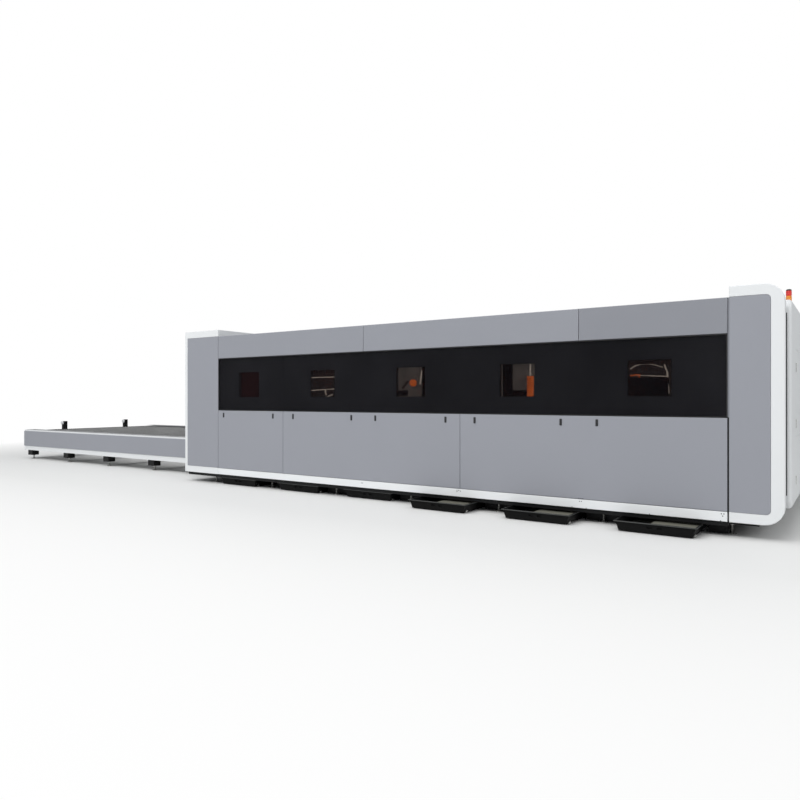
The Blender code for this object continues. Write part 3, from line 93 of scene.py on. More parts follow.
# colour, roughness, grain lines per metre, stain, stain's colour, metallic
METALS = {
    "zinc_plated_steel": ((0.62, 0.62, 0.60), 0.3, (60.0, 60.0, 60.0), 0.15),
    "ground_rail_steel": ((0.56, 0.57, 0.59), 0.22, (3.0, 500.0, 500.0), 0.1),
    "shaft_steel": ((0.50, 0.50, 0.51), 0.3, (400.0, 4.0, 400.0), 0.25),
    "toothed_slat_steel": ((0.50, 0.50, 0.50), 0.5, (300.0, 5.0, 120.0), 0.35, (0.20, 0.17, 0.15), 0.5),
    "worn_strip_steel": ((0.36, 0.36, 0.37), 0.5, (5.0, 300.0, 120.0), 0.45, (0.16, 0.13, 0.11), 0.6),
    "oiled_chain_steel": ((0.14, 0.135, 0.13), 0.35, (90.0, 90.0, 90.0), 0.4, (0.05, 0.035, 0.02)),
    "milled_alloy": ((0.62, 0.63, 0.65), 0.32, (200.0, 6.0, 200.0), 0.05),
}


class FinishSettings(bpy.types.PropertyGroup):
    """Colours and surface qualities that the pieces share."""

    grey: bpy.props.FloatVectorProperty(
        name="Grey covers", description="Powder coat of the side covers", subtype="COLOR",
        size=3, min=0, max=1, default=(0.276, 0.285, 0.318))
    upper_grey: bpy.props.FloatVectorProperty(
        name="Upper covers", description="Powder coat of the covers above the glazing", subtype="COLOR",
        size=3, min=0, max=1, default=(0.264, 0.273, 0.304))
    white: bpy.props.FloatVectorProperty(
        name="White shells", description="Powder coat of the hood, caps, skirt and housing", subtype="COLOR",
        size=3, min=0, max=1, default=(0.72, 0.735, 0.745))
    black: bpy.props.FloatVectorProperty(
        name="Black frames", description="Paint of the bed, the table's frame and the trays", subtype="COLOR",
        size=3, min=0, max=1, default=(0.006, 0.006, 0.0065))
    amber: bpy.props.FloatVectorProperty(
        name="Laser glass", description="Tint of the safety windows", subtype="COLOR",
        size=3, min=0, max=1, default=(0.30, 0.055, 0.015))
    peel: bpy.props.FloatProperty(
        name="Orange peel", description="Size of the powder coat's fine ripple", unit="LENGTH",
        min=0.0005, max=0.02, default=0.003)
    glass_alpha: bpy.props.FloatProperty(
        name="Glazing density", description="How much the dark strip hides what is behind it",
        min=0, max=1, default=0.5)


class CoverSettings(bpy.types.PropertyGroup):
    """Sizes of the folded covers and what is on them."""

    fold: bpy.props.FloatProperty(
        name="Fold radius", description="Outer radius of the covers' folded edges", unit="LENGTH",
        min=0.001, max=0.02, default=0.006)
    sheet: bpy.props.FloatProperty(
        name="Sheet", description="Thickness of the cover sheet", unit="LENGTH",
        min=0.001, max=0.006, default=0.002)
    edge: bpy.props.FloatProperty(
        name="Shell edge", description="Rounding of the white shells' edges", unit="LENGTH",
        min=0.001, max=0.02, default=0.005)
    latch_height: bpy.props.FloatProperty(
        name="Latch height", description="Height of a cover latch", unit="LENGTH",
        min=0.03, max=0.15, default=0.074)
    latch_width: bpy.props.FloatProperty(
        name="Latch width", description="Width of a cover latch", unit="LENGTH",
        min=0.01, max=0.06, default=0.027)
    latch_drop: bpy.props.FloatProperty(
        name="Latch drop", description="Middle of a latch below the glazing", unit="LENGTH",
        min=0.03, max=0.3, default=0.076)
    screw: bpy.props.FloatProperty(
        name="Screw head", description="Radius of the cover screws' heads", unit="LENGTH",
        min=0.002, max=0.015, default=0.0055)


class TableSettings(bpy.types.PropertyGroup):
    """Sizes of the pallets, the exchange drive and the feet."""

    slat_pitch: bpy.props.FloatProperty(
        name="Slat pitch", description="Distance between two support slats", unit="LENGTH",
        min=0.04, max=0.3, default=0.10)
    tooth_pitch: bpy.props.FloatProperty(
        name="Tooth pitch", description="Distance between two tips of a slat", unit="LENGTH",
        min=0.02, max=0.1, default=0.05)
    slat_thickness: bpy.props.FloatProperty(
        name="Slat thickness", description="Thickness of a slat", unit="LENGTH",
        min=0.001, max=0.01, default=0.004)
    chain_pitch: bpy.props.FloatProperty(
        name="Chain pitch", description="Distance between two chain rollers", unit="LENGTH",
        min=0.01, max=0.06, default=0.0254)
    bolt: bpy.props.FloatProperty(
        name="Foot bolt", description="Radius of a levelling foot's bolt", unit="LENGTH",
        min=0.006, max=0.03, default=0.0135)


class StageSettings(bpy.types.PropertyGroup):
    """Camera, lamps and floor."""

    camera_place: bpy.props.FloatVectorProperty(
        name="Camera", description="Where the camera stands", subtype="TRANSLATION", unit="LENGTH",
        size=3, default=(8.165, -9.5, 1.375))
    camera_turn: bpy.props.FloatProperty(
        name="Camera turn", description="Turn of the level camera to the left of +Y", subtype="ANGLE",
        default=math.radians(34.2))
    lens: bpy.props.FloatProperty(
        name="Lens", description="Focal length for a 36 mm wide sensor", min=10, max=200, default=30.15)
    horizon: bpy.props.FloatProperty(
        name="Horizon shift", description="Vertical shift of the camera's frame",
        min=-0.1, max=0.1, default=-0.0019)
    lamp_power: bpy.props.FloatProperty(
        name="Lamps", description="Power of the main soft lamp", unit="POWER", min=0, max=20000,
        default=4150.0)
    sky: bpy.props.FloatProperty(
        name="Sky", description="Strength of the even light from all round", min=0, max=2, default=0.50)
    floor: bpy.props.FloatVectorProperty(
        name="Floor", description="Colour of the plain floor", subtype="COLOR",
        size=3, min=0, max=1, default=(0.78, 0.78, 0.77))


def in_space(outline, axis, depth):
    """Points of a flat outline at one depth. Axis X takes (y, z), Y takes (x, z), Z takes (x, y)."""
    if axis == "X":
        return [(depth, u, v) for u, v in outline]
    if axis == "Y":
        return [(u, depth, v) for u, v in outline]
    return [(u, v, depth) for u, v in outline]


def rectangle(low_u, high_u, low_v, high_v, inset=0.0):
    return [
        (low_u + inset, low_v + inset), (high_u - inset, low_v + inset),
        (high_u - inset, high_v - inset), (low_u + inset, high_v - inset),
    ]


def rounded(low_u, high_u, low_v, high_v, left, right, steps):
    """A rectangle whose left and right pairs of corners have their own radii, 0 for sharp ones."""
    corners = [
        (high_u, high_v, right, 0.0, -1, -1), (low_u, high_v, left, 0.5, 1, -1),
        (low_u, low_v, left, 1.0, 1, 1), (high_u, low_v, right, 1.5, -1, 1),
    ]
    points = []
    for u, v, radius, turn, toward_u, toward_v in corners:
        if radius <= 0:
            points.append((u, v))
            continue
        middle_u, middle_v = u + toward_u * radius, v + toward_v * radius
        for step in range(steps + 1):
            angle = math.pi * (turn + 0.5 * step / steps)
            points.append((middle_u + radius * math.cos(angle), middle_v + radius * math.sin(angle)))
    return points


def add_loft(bm, loops, ring=False):
    """Bridge each loop of points to the next. The ends are capped, or joined where it is a ring."""
    rows = [[bm.verts.new(point) for point in loop] for loop in loops]
    following = rows[1:] + (rows[:1] if ring else [])
    for row, after in zip(rows, following):
        count = len(row)
        for index in range(count):
            step = (index + 1) % count
            bm.faces.new((row[index], row[step], after[step], after[index]))
    if not ring:
        bm.faces.new(rows[0][::-1])
        bm.faces.new(rows[-1])


def add_prism(bm, outline, axis, start, end):
    add_loft(bm, [in_space(outline, axis, start), in_space(outline, axis, end)])


def add_box(bm, low, high):
    add_prism(bm, rectangle(low[0], high[0], low[1], high[1]), "Z", low[2], high[2])


def circle(middle, radius, segments):
    return [
        (middle[0] + radius * math.cos(2 * math.pi * count / segments),
         middle[1] + radius * math.sin(2 * math.pi * count / segments))
        for count in range(segments)
    ]


def placed(profile, start, sign=1):
    """A profile of (radius, place) pairs moved along its axis, or turned round on it."""
    return [(radius, start + sign * along) for radius, along in profile]


def add_turned(bm, profile, middle, axis, segments=32):
    """A turned solid from (radius, place along the axis) pairs."""
    add_loft(bm, [in_space(circle(middle, radius, segments), axis, along) for radius, along in profile])


def add_tube(bm, outer, inner, axis, start, end):
    """A straight wall between two outlines with as many points."""
    add_loft(bm, [
        in_space(outer, axis, start), in_space(outer, axis, end),
        in_space(inner, axis, end), in_space(inner, axis, start),
    ], ring=True)


def add_screw(bm, place, direction, radius):
    """A low domed screw head with a hexagon socket, its axis along X or Y."""
    axis = "X" if direction in ("+X", "-X") else "Y"
    sign = 1 if direction[0] == "+" else -1
    middle = (place[1], place[2]) if axis == "X" else (place[0], place[2])
    start = place[0] if axis == "X" else place[1]
    height = sign * radius * SCREW_DOME
    profile = [(radius * share, start + height * rise) for share, rise in SCREW_PROFILE]
    add_turned(bm, profile, middle, axis, 12)


def make_piece(bm, name, finish, body, stands_for=(), edge=0.0, steps=2, sharp=34):
    """Turn the mesh into a named piece: rounded edges, even shading, its finish and a body to ride on."""
    bmesh.ops.recalc_face_normals(bm, faces=bm.faces)
    mesh = bpy.data.meshes.new(name)
    bm.to_mesh(mesh)
    bm.free()
    mesh.materials.append(finish)
    solid = bpy.data.objects.new(name, mesh)
    bpy.context.scene.collection.objects.link(solid)
    mesh.shade_smooth()
    mesh.set_sharp_from_angle(angle=math.radians(sharp))
    if edge > 0:
        rounding = solid.modifiers.new("edges", "BEVEL")
        rounding.width = edge
        rounding.segments = steps
        rounding.limit_method = "ANGLE"
        rounding.angle_limit = math.radians(sharp)
        rounding.use_clamp_overlap = True
        rounding.miter_outer = "MITER_ARC"
    shading = solid.modifiers.new("shading", "WEIGHTED_NORMAL")
    shading.keep_sharp = edge <= 0
    shading.weight = 80
    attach(solid, body)
    if stands_for:
        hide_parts(*stands_for)
    return solid


def box_piece(low, high, name, finish, body, stands_for=(), edge=0.0):
    bm = bmesh.new()
    add_box(bm, low, high)
    make_piece(bm, name, finish, body, stands_for, edge)


def cut_off(bm, height, below):
    """Take away what lies below or above one height, and close the cut."""
    cut = bmesh.ops.bisect_plane(bm, geom=bm.verts[:] + bm.edges[:] + bm.faces[:], plane_co=(0, 0, height),
                                 plane_no=(0, 0, 1), clear_inner=below, clear_outer=not below)
    edges = [item for item in cut["geom_cut"] if isinstance(item, bmesh.types.BMEdge)]
    bmesh.ops.holes_fill(bm, edges=edges, sides=0)


def softened(node, name, finish, body, edge=0.003, steps=2, change=None):
    """A node's own shape with its flat faces made whole and its edges rounded, shown instead of it."""
    bm = bmesh.new()
    bm.from_mesh(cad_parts[node].data)
    bmesh.ops.remove_doubles(bm, verts=bm.verts, dist=0.00002)
    bmesh.ops.dissolve_limit(bm, angle_limit=math.radians(0.4), verts=bm.verts, edges=bm.edges)
    if change:
        change(bm)
    for face in bm.faces:
        face.material_index = 0
    return make_piece(bm, name, finish, body, [node], edge, steps, 20)


def new_group(name, inputs, outputs):
    """An empty shader node group with named sockets."""
    group = bpy.data.node_groups.new(name, "ShaderNodeTree")
    for label, kind, value in inputs:
        socket = group.interface.new_socket(label, in_out="INPUT", socket_type=kind)
        socket.default_value = value
    for label, kind in outputs:
        group.interface.new_socket(label, in_out="OUTPUT", socket_type=kind)
    return group, group.nodes.new("NodeGroupInput"), group.nodes.new("NodeGroupOutput")


def add_node(tree, kind, values=(), **settings):
    """A node with its settings, and values for its inputs by name."""
    node = tree.nodes.new(kind)
    for key, value in settings.items():
        setattr(node, key, value)
    for key, value in dict(values).items():
        node.inputs[key].default_value = value
    return node


def add_noise(tree, vector, scale, detail=3.0, roughness=0.5):
    node = add_node(tree, "ShaderNodeTexNoise", {"Scale": scale, "Detail": detail, "Roughness": roughness})
    tree.links.new(vector, node.inputs["Vector"])
    return node.outputs["Fac"]


def add_math(tree, operation, first, second=None):
    node = add_node(tree, "ShaderNodeMath", operation=operation)
    for socket, value in zip(node.inputs, (first, second)):
        if value is None:
            continue
        if isinstance(value, (int, float)):
            socket.default_value = value
        else:
            tree.links.new(value, socket)
    return node.outputs[0]


def add_range(tree, value, low, high, to_low, to_high):
    node = add_node(tree, "ShaderNodeMapRange", {
        "From Min": low, "From Max": high, "To Min": to_low, "To Max": to_high})
    tree.links.new(value, node.inputs["Value"])
    return node.outputs["Result"]


def add_mix(tree, share, first, second, blend="MIX"):
    node = add_node(tree, "ShaderNodeMix", data_type="RGBA", blend_type=blend)
    for index, value in ((0, share), (6, first), (7, second)):
        if isinstance(value, bpy.types.NodeSocket):
            tree.links.new(value, node.inputs[index])
        else:
            node.inputs[index].default_value = value
    return node.outputs[2]


def coat_group():
    """Powder coat: soft shade changes, a fine ripple and the sheet's own slow wave."""
    if "Powder coat" in bpy.data.node_groups:
        return bpy.data.node_groups["Powder coat"]
    group, start, end = new_group("Powder coat", [
        ("Colour", "NodeSocketColor", (0.5, 0.5, 0.5, 1.0)),
        ("Shade spread", "NodeSocketFloat", 0.05),
        ("Roughness", "NodeSocketFloat", 0.4),
        ("Ripple per metre", "NodeSocketFloat", 330.0),
        ("Sheet wave", "NodeSocketFloat", 0.5),
        ("Dust", "NodeSocketFloat", 0.2),
    ], [
        ("Colour", "NodeSocketColor"), ("Roughness", "NodeSocketFloat"), ("Height", "NodeSocketFloat"),
    ])
    place = add_node(group, "ShaderNodeTexCoord").outputs["Object"]
    cloud = add_noise(group, place, 0.9, 4.0)
    centred = add_math(group, "SUBTRACT", cloud, 0.5)
    swing = add_math(group, "MULTIPLY", centred, start.outputs["Shade spread"])
    shade = add_math(group, "ADD", swing, 1.0)
    grey = add_node(group, "ShaderNodeCombineColor")
    for channel in ("Red", "Green", "Blue"):
        group.links.new(shade, grey.inputs[channel])
    tinted = add_mix(group, 1.0, start.outputs["Colour"], grey.outputs["Color"], "MULTIPLY")
    facing = add_node(group, "ShaderNodeSeparateXYZ")
    group.links.new(add_node(group, "ShaderNodeNewGeometry").outputs["Normal"], facing.inputs[0])
    upward = add_range(group, facing.outputs["Z"], 0.55, 1.0, 0.0, 1.0)
    patches = add_range(group, add_noise(group, place, 6.0, 6.0, 0.6), 0.35, 0.75, 0.2, 1.0)
    settled = add_math(group, "MULTIPLY", add_math(group, "MULTIPLY", upward, patches),
                       start.outputs["Dust"])
    dusty = add_mix(group, settled, tinted, (0.52, 0.51, 0.48, 1.0))
    group.links.new(dusty, end.inputs["Colour"])
    smear = add_noise(group, place, 3.5, 5.0, 0.6)
    rough = add_math(group, "ADD", start.outputs["Roughness"],
                     add_math(group, "MULTIPLY", add_math(group, "SUBTRACT", smear, 0.5), 0.16))
    rough = add_math(group, "ADD", rough, add_math(group, "MULTIPLY", settled, 0.3))
    group.links.new(rough, end.inputs["Roughness"])
    ripple = add_node(group, "ShaderNodeTexNoise", {"Detail": 2.0})
    group.links.new(place, ripple.inputs["Vector"])
    group.links.new(start.outputs["Ripple per metre"], ripple.inputs["Scale"])
    fine = add_math(group, "MULTIPLY", ripple.outputs["Fac"], 0.06)
    wave = add_math(group, "MULTIPLY", add_noise(group, place, 1.6, 1.0), start.outputs["Sheet wave"])
    group.links.new(add_math(group, "ADD", fine, wave), end.inputs["Height"])
    return group


def grain_group():
    """Drawn or ground metal: long fine lines along one axis and a few darker stains."""
    if "Metal grain" in bpy.data.node_groups:
        return bpy.data.node_groups["Metal grain"]
    group, start, end = new_group("Metal grain", [
        ("Colour", "NodeSocketColor", (0.5, 0.5, 0.5, 1.0)),
        ("Stain colour", "NodeSocketColor", (0.2, 0.15, 0.1, 1.0)),
        ("Stain", "NodeSocketFloat", 0.3),
        ("Roughness", "NodeSocketFloat", 0.35),
        ("Line density", "NodeSocketVector", (4.0, 300.0, 300.0)),
    ], [
        ("Colour", "NodeSocketColor"), ("Roughness", "NodeSocketFloat"), ("Height", "NodeSocketFloat"),
    ])
    place = add_node(group, "ShaderNodeTexCoord").outputs["Object"]
    stretch = add_node(group, "ShaderNodeVectorMath", operation="MULTIPLY")
    group.links.new(place, stretch.inputs[0])
    group.links.new(start.outputs["Line density"], stretch.inputs[1])
    lines = add_noise(group, stretch.outputs[0], 1.0, 4.0, 0.6)
    blotch = add_range(group, add_noise(group, place, 7.0, 6.0, 0.65), 0.5, 0.72, 0.0, 1.0)
    stain = add_math(group, "MULTIPLY", blotch, start.outputs["Stain"])
    lined = add_mix(group, add_range(group, lines, 0.3, 0.7, 0.0, 0.25), start.outputs["Colour"],
                    (0.05, 0.05, 0.05, 1.0))
    group.links.new(add_mix(group, stain, lined, start.outputs["Stain colour"]), end.inputs["Colour"])
    rough = add_math(group, "ADD", start.outputs["Roughness"], add_range(group, lines, 0.3, 0.7, -0.08, 0.1))
    rough = add_math(group, "ADD", rough, add_math(group, "MULTIPLY", stain, 0.3))
    group.links.new(rough, end.inputs["Roughness"])
    group.links.new(lines, end.inputs["Height"])
    return group


def new_material(name):
    """A material with its Principled shader ready, or the one that has the name already."""
    if name in bpy.data.materials:
        return bpy.data.materials[name], None, None
    material = bpy.data.materials.new(name)
    material.use_nodes = True
    tree = material.node_tree
    return material, tree, tree.nodes["Principled BSDF"]


def feed(tree, shader, surface, distance):
    """Join a surface group's colour, roughness and height to the shader."""
    tree.links.new(surface.outputs["Colour"], shader.inputs["Base Color"])
    tree.links.new(surface.outputs["Roughness"], shader.inputs["Roughness"])
    bump = add_node(tree, "ShaderNodeBump", {"Distance": distance, "Strength": 1.0})
    tree.links.new(surface.outputs["Height"], bump.inputs["Height"])
    tree.links.new(bump.outputs["Normal"], shader.inputs["Normal"])


def coated(name, colour, roughness=0.42, spread=0.06, wave=0.6, dust=0.15, gloss=0.5):
    """A powder-coated or painted surface."""
    material, tree, shader = new_material(name)
    if tree is None:
        return material
    surface = add_node(tree, "ShaderNodeGroup", node_tree=coat_group(), values={
        "Colour": (*colour, 1.0), "Shade spread": spread, "Roughness": roughness,
        "Ripple per metre": 1.0 / bpy.context.scene.machine_finish.peel, "Sheet wave": wave, "Dust": dust})
    feed(tree, shader, surface, 0.004)
    shader.inputs["Specular IOR Level"].default_value = gloss
    return material


def metal(name, colour, roughness, density, stain, stain_colour=(0.12, 0.09, 0.07), metallic=1.0):
    """A bare metal surface with its grain along the axis of least density."""
    material, tree, shader = new_material(name)
    if tree is None:
        return material
    surface = add_node(tree, "ShaderNodeGroup", node_tree=grain_group(), values={
        "Colour": (*colour, 1.0), "Stain colour": (*stain_colour, 1.0), "Stain": stain,
        "Roughness": roughness, "Line density": density})
    feed(tree, shader, surface, 0.0003)
    shader.inputs["Metallic"].default_value = metallic
    return material


def grey_coat():
    return coated("grey_powder_coat", bpy.context.scene.machine_finish.grey)


def upper_grey_coat():
    return coated("upper_grey_powder_coat", bpy.context.scene.machine_finish.upper_grey)


def painted_shade_grey_coat():
    """The upper covers' coat made darker for the last one: painted shade, as the light falls less on that
    cover.
    """
    colour = [value * LAST_COVER_PAINTED_SHADE for value in bpy.context.scene.machine_finish.upper_grey]
    return coated("upper_grey_painted_shade", colour)


def white_coat():
    return coated("white_powder_coat", bpy.context.scene.machine_finish.white, 0.38, 0.03, 0.4, 0.1)


def painted_light_skirt_coat():
    """The white coat made lighter for the skirt: painted light for a part that gets less light near the
    floor.
    """
    colour = [value * SKIRT_PAINTED_LIGHT for value in bpy.context.scene.machine_finish.white]
    return coated("white_coat_painted_light", colour, 0.38, 0.03, 0.4, 0.1)


def black_paint():
    return coated("black_frame_paint", bpy.context.scene.machine_finish.black, 0.5, 0.5, 0.8, 0.01, 0.2)


def paint(name):
    return coated(name, *PAINTS[name])


def bare(name):
    return metal(name, *METALS[name])


def dark_glazing():
    """The tinted strip: almost black, smooth, and thin enough to show the windows behind it."""
    material, tree, shader = new_material("dark_glazing")
    if tree is None:
        return material
    place = add_node(tree, "ShaderNodeTexCoord").outputs["Object"]
    # The tint's lighter patches stand for uneven reflections of the hall: painted reflection.
    cloud = add_range(tree, add_noise(tree, place, 0.55, 3.0), 0.3, 0.7, 0.0, 1.0)
    tint = add_mix(tree, cloud, (0.0008, 0.0009, 0.0016, 1.0), (0.0050, 0.0051, 0.0066, 1.0))
    tree.links.new(tint, shader.inputs["Base Color"])
    smear = add_range(tree, add_noise(tree, place, 2.5, 5.0), 0.3, 0.7, 0.05, 0.11)
    tree.links.new(smear, shader.inputs["Roughness"])
    bump = add_node(tree, "ShaderNodeBump", {"Distance": 0.003, "Strength": 0.6})
    tree.links.new(add_noise(tree, place, 0.8, 1.0), bump.inputs["Height"])
    tree.links.new(bump.outputs["Normal"], shader.inputs["Normal"])
    shader.inputs["IOR"].default_value = 1.13
    shader.inputs["Alpha"].default_value = bpy.context.scene.machine_finish.glass_alpha
    return material


def laser_glass():
    """Amber safety glass, thin enough to show what stands behind it."""
    material, tree, shader = new_material("amber_laser_glass")
    if tree is None:
        return material
    amber = bpy.context.scene.machine_finish.amber
    place = add_node(tree, "ShaderNodeTexCoord").outputs["Object"]
    shapes = add_noise(tree, place, 3.2, 3.0, 0.55)
    dark = tuple(value * 0.3 for value in amber)
    tint = add_mix(tree, add_range(tree, shapes, 0.35, 0.65, 0.0, 1.0), (*dark, 1.0), (*amber, 1.0))
    tree.links.new(tint, shader.inputs["Base Color"])
    tree.links.new(add_range(tree, shapes, 0.3, 0.7, 0.06, 0.14), shader.inputs["Roughness"])
    shader.inputs["Alpha"].default_value = 0.08
    return material


def lit_surface(name, colour, strength):
    """Something in the working room, painted as lit: it glows with its own colour, a little uneven in its
    brightness.
    """
    material, tree, shader = new_material(name)
    if tree is None:
        return material
    place = add_node(tree, "ShaderNodeTexCoord").outputs["Object"]
    share = add_range(tree, add_noise(tree, place, 7.0, 3.0), 0.35, 0.65, 0.0, 1.0)
    dark = tuple(value * 0.6 for value in colour)
    shade = add_mix(tree, share, (*dark, 1.0), (*colour, 1.0))
    tree.links.new(shade, shader.inputs["Base Color"])
    tree.links.new(shade, shader.inputs["Emission Color"])
    tree.links.new(add_range(tree, share, 0.0, 1.0, 0.3, 0.5), shader.inputs["Roughness"])
    shader.inputs["Specular IOR Level"].default_value = 0.1
    shader.inputs["Emission Strength"].default_value = strength
    return material


def door_glass():
    """Bluish see-through glass of the end doors."""
    material, tree, shader = new_material("end_door_glass")
    if tree is None:
        return material
    place = add_node(tree, "ShaderNodeTexCoord").outputs["Object"]
    share = add_range(tree, add_noise(tree, place, 1.5, 3.0), 0.3, 0.7, 0.0, 1.0)
    tint = add_mix(tree, share, (0.42, 0.50, 0.56, 1.0), (0.50, 0.58, 0.63, 1.0))
    tree.links.new(tint, shader.inputs["Base Color"])
    tree.links.new(add_range(tree, add_noise(tree, place, 4.0), 0.3, 0.7, 0.03, 0.08),
                   shader.inputs["Roughness"])
    shader.inputs["Alpha"].default_value = 0.6
    return material


def lens_plastic(name, colour):
    """A clear coloured signal lens, ribbed inside."""
    material, tree, shader = new_material(name)
    if tree is None:
        return material
    place = add_node(tree, "ShaderNodeTexCoord").outputs["Object"]
    share = add_range(tree, add_noise(tree, place, 60.0, 2.0), 0.3, 0.7, 0.0, 1.0)
    dark = tuple(value * 0.55 for value in colour)
    tree.links.new(add_mix(tree, share, (*dark, 1.0), (*colour, 1.0)), shader.inputs["Base Color"])
    tree.links.new(add_range(tree, share, 0.0, 1.0, 0.14, 0.24), shader.inputs["Roughness"])
    shader.inputs["Emission Color"].default_value = (*colour, 1.0)
    shader.inputs["Emission Strength"].default_value = 0.12
    shader.inputs["Coat Weight"].default_value = 0.5
    return material


def repaint(node, material):
    """Give a node that keeps its own shape a better material."""
    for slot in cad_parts[node].material_slots:
        slot.material = material


def folded_cover(bm, low, high, fold, sheet):
    """A pan of folded sheet that faces the front: rounded edges, returns, open at the back."""
    loops = []
    steps = 4
    for step in range(steps + 1):
        angle = 0.5 * math.pi * step / steps
        inset, back = fold * (1 - math.sin(angle)), fold * (1 - math.cos(angle))
        loops.append(in_space(rectangle(low.x, high.x, low.z, high.z, inset), "Y", FACE_Y + back))
    for inset, depth in ((0.0, high.y), (sheet, high.y), (sheet, FACE_Y + sheet)):
        loops.append(in_space(rectangle(low.x, high.x, low.z, high.z, inset), "Y", depth))
    add_loft(bm, loops)


class MACHINE_OT_front_covers(bpy.types.Operator):
    """Build the folded lower and upper covers, the skirt and the glazed strip"""

    bl_idname = "machine.front_covers"
    bl_label = "Front Covers"

    GASKET = 0.010
    GASKET_BACK = 0.007         # of the glazing gasket's face behind the covers' face
    JOINT = (0.012, 0.026)      # depths of the strip in the joint beside the cap

    def execute(self, context):
        sizes = context.scene.machine_cover
        upper = upper_grey_coat()
        # The last upper cover takes the darker copy of the coat: painted shade.
        finishes = {"lower": [grey_coat()] * 3, "upper": [upper, upper, painted_shade_grey_coat()]}
        for level in ("lower", "upper"):
            for count, finish in enumerate(finishes[level], 1):
                node = f"front_{level}_cover_{count}"
                low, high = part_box(node)
                bm = bmesh.new()
                folded_cover(bm, low, high, sizes.fold, sizes.sheet)
                make_piece(bm, f"{level}_cover_{count}", finish, "root", [node])
        low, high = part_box("front_skirt")
        bm = bmesh.new()
        folded_cover(bm, low, high, sizes.fold, sizes.sheet)
        # The skirt is lighter than the other white shells: painted light.
        make_piece(bm, "skirt", painted_light_skirt_coat(), "root", ["front_skirt"])
        for count in range(1, 4):
            low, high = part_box(f"front_glass_{count}")
            box_piece(low, high, f"glazing_{count}", dark_glazing(), "root",
                      [f"front_glass_{count}"], 0.0015)
        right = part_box("front_glass_3")[1].x
        outer = rectangle(GLASS_LOW.x, right, GLASS_LOW.z, GLASS_HIGH.z)
        inner = rectangle(GLASS_LOW.x, right, GLASS_LOW.z, GLASS_HIGH.z, self.GASKET)
        bm = bmesh.new()
        add_tube(bm, outer, inner, "Y", FACE_Y + self.GASKET_BACK, GLASS_LOW.y - TOUCH)
        make_piece(bm, "glazing_gasket", paint("gasket_rubber"), "root", (), 0.001)
        low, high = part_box("front_upper_cover_3")
        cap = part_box("front_end_cap")[0]
        # The joint's upper strip takes the same painted-shade grey.
        for name, finish, start, end in (("cap_seal", paint("gasket_rubber"), cap.z + 0.002, GLASS_LOW.z),
                                         ("cap_joint", painted_shade_grey_coat(), GLASS_LOW.z + 0.002, high.z)):
            near, far = (FACE_Y + depth for depth in self.JOINT)
            box_piece((high.x + 0.001, near, start), (cap.x - 0.001, far, end),
                      name, finish, "root", (), 0.002)
        return {"FINISHED"}


class MACHINE_OT_cover_latches(bpy.types.Operator):
    """Build the black latches of the lower covers and the skirt's screws"""

    bl_idname = "machine.cover_latches"
    bl_label = "Cover Latches"

    LATCH_FROM_BAY = 0.545
    # x and z of the screws in the skirt and at its lower edge
    SCREWS = (
        (2.594, 0.224), (2.618, 0.224), (4.085, 0.240), (4.109, 0.240), (4.085, 0.222), (4.133, 0.232),
        (5.551, 0.165), (5.712, 0.165), (5.636, 0.236), (5.658, 0.236), (5.629, 0.268), (5.651, 0.268),
        (5.673, 0.268), (6.385, 0.165), (7.064, 0.165), (7.071, 0.236), (7.093, 0.236), (7.082, 0.214),
    )

    def execute(self, context):
        sizes = context.scene.machine_cover
        middle_z = GLASS_LOW.z - sizes.latch_drop
        bm = bmesh.new()
        places = []
        for low, high in BAYS:
            middle = (low.x + high.x) / 2
            places += [middle - self.LATCH_FROM_BAY, middle + self.LATCH_FROM_BAY]
        half_w, half_h = sizes.latch_width / 2, sizes.latch_height / 2
        for x in places[:-1]:
            base = rounded(x - half_w, x + half_w, middle_z - half_h, middle_z + half_h, 0.006, 0.006, 5)
            add_prism(bm, base, "Y", FACE_Y - 0.0055, FACE_Y + 0.0008)
            paddle = rounded(x - half_w * 0.62, x + half_w * 0.62, middle_z - half_h * 0.8,
                             middle_z + half_h * 0.35, 0.004, 0.004, 5)
            add_prism(bm, paddle, "Y", FACE_Y - 0.0085, FACE_Y - 0.005)
            add_turned(bm, [(0.006, FACE_Y - 0.005), (0.006, FACE_Y - 0.0075), (0.0035, FACE_Y - 0.0075),
                            (0.003, FACE_Y - 0.006)], (x, middle_z + half_h * 0.66), "Y", 16)
        make_piece(bm, "cover_latches", paint("black_moulded_plastic"), "root", (), 0.0008)
        bm = bmesh.new()
        for x, z in self.SCREWS:
            add_screw(bm, (x, FACE_Y, z), "-Y", sizes.screw)
        make_piece(bm, "skirt_screws", paint("black_moulded_plastic"), "root")
        return {"FINISHED"}


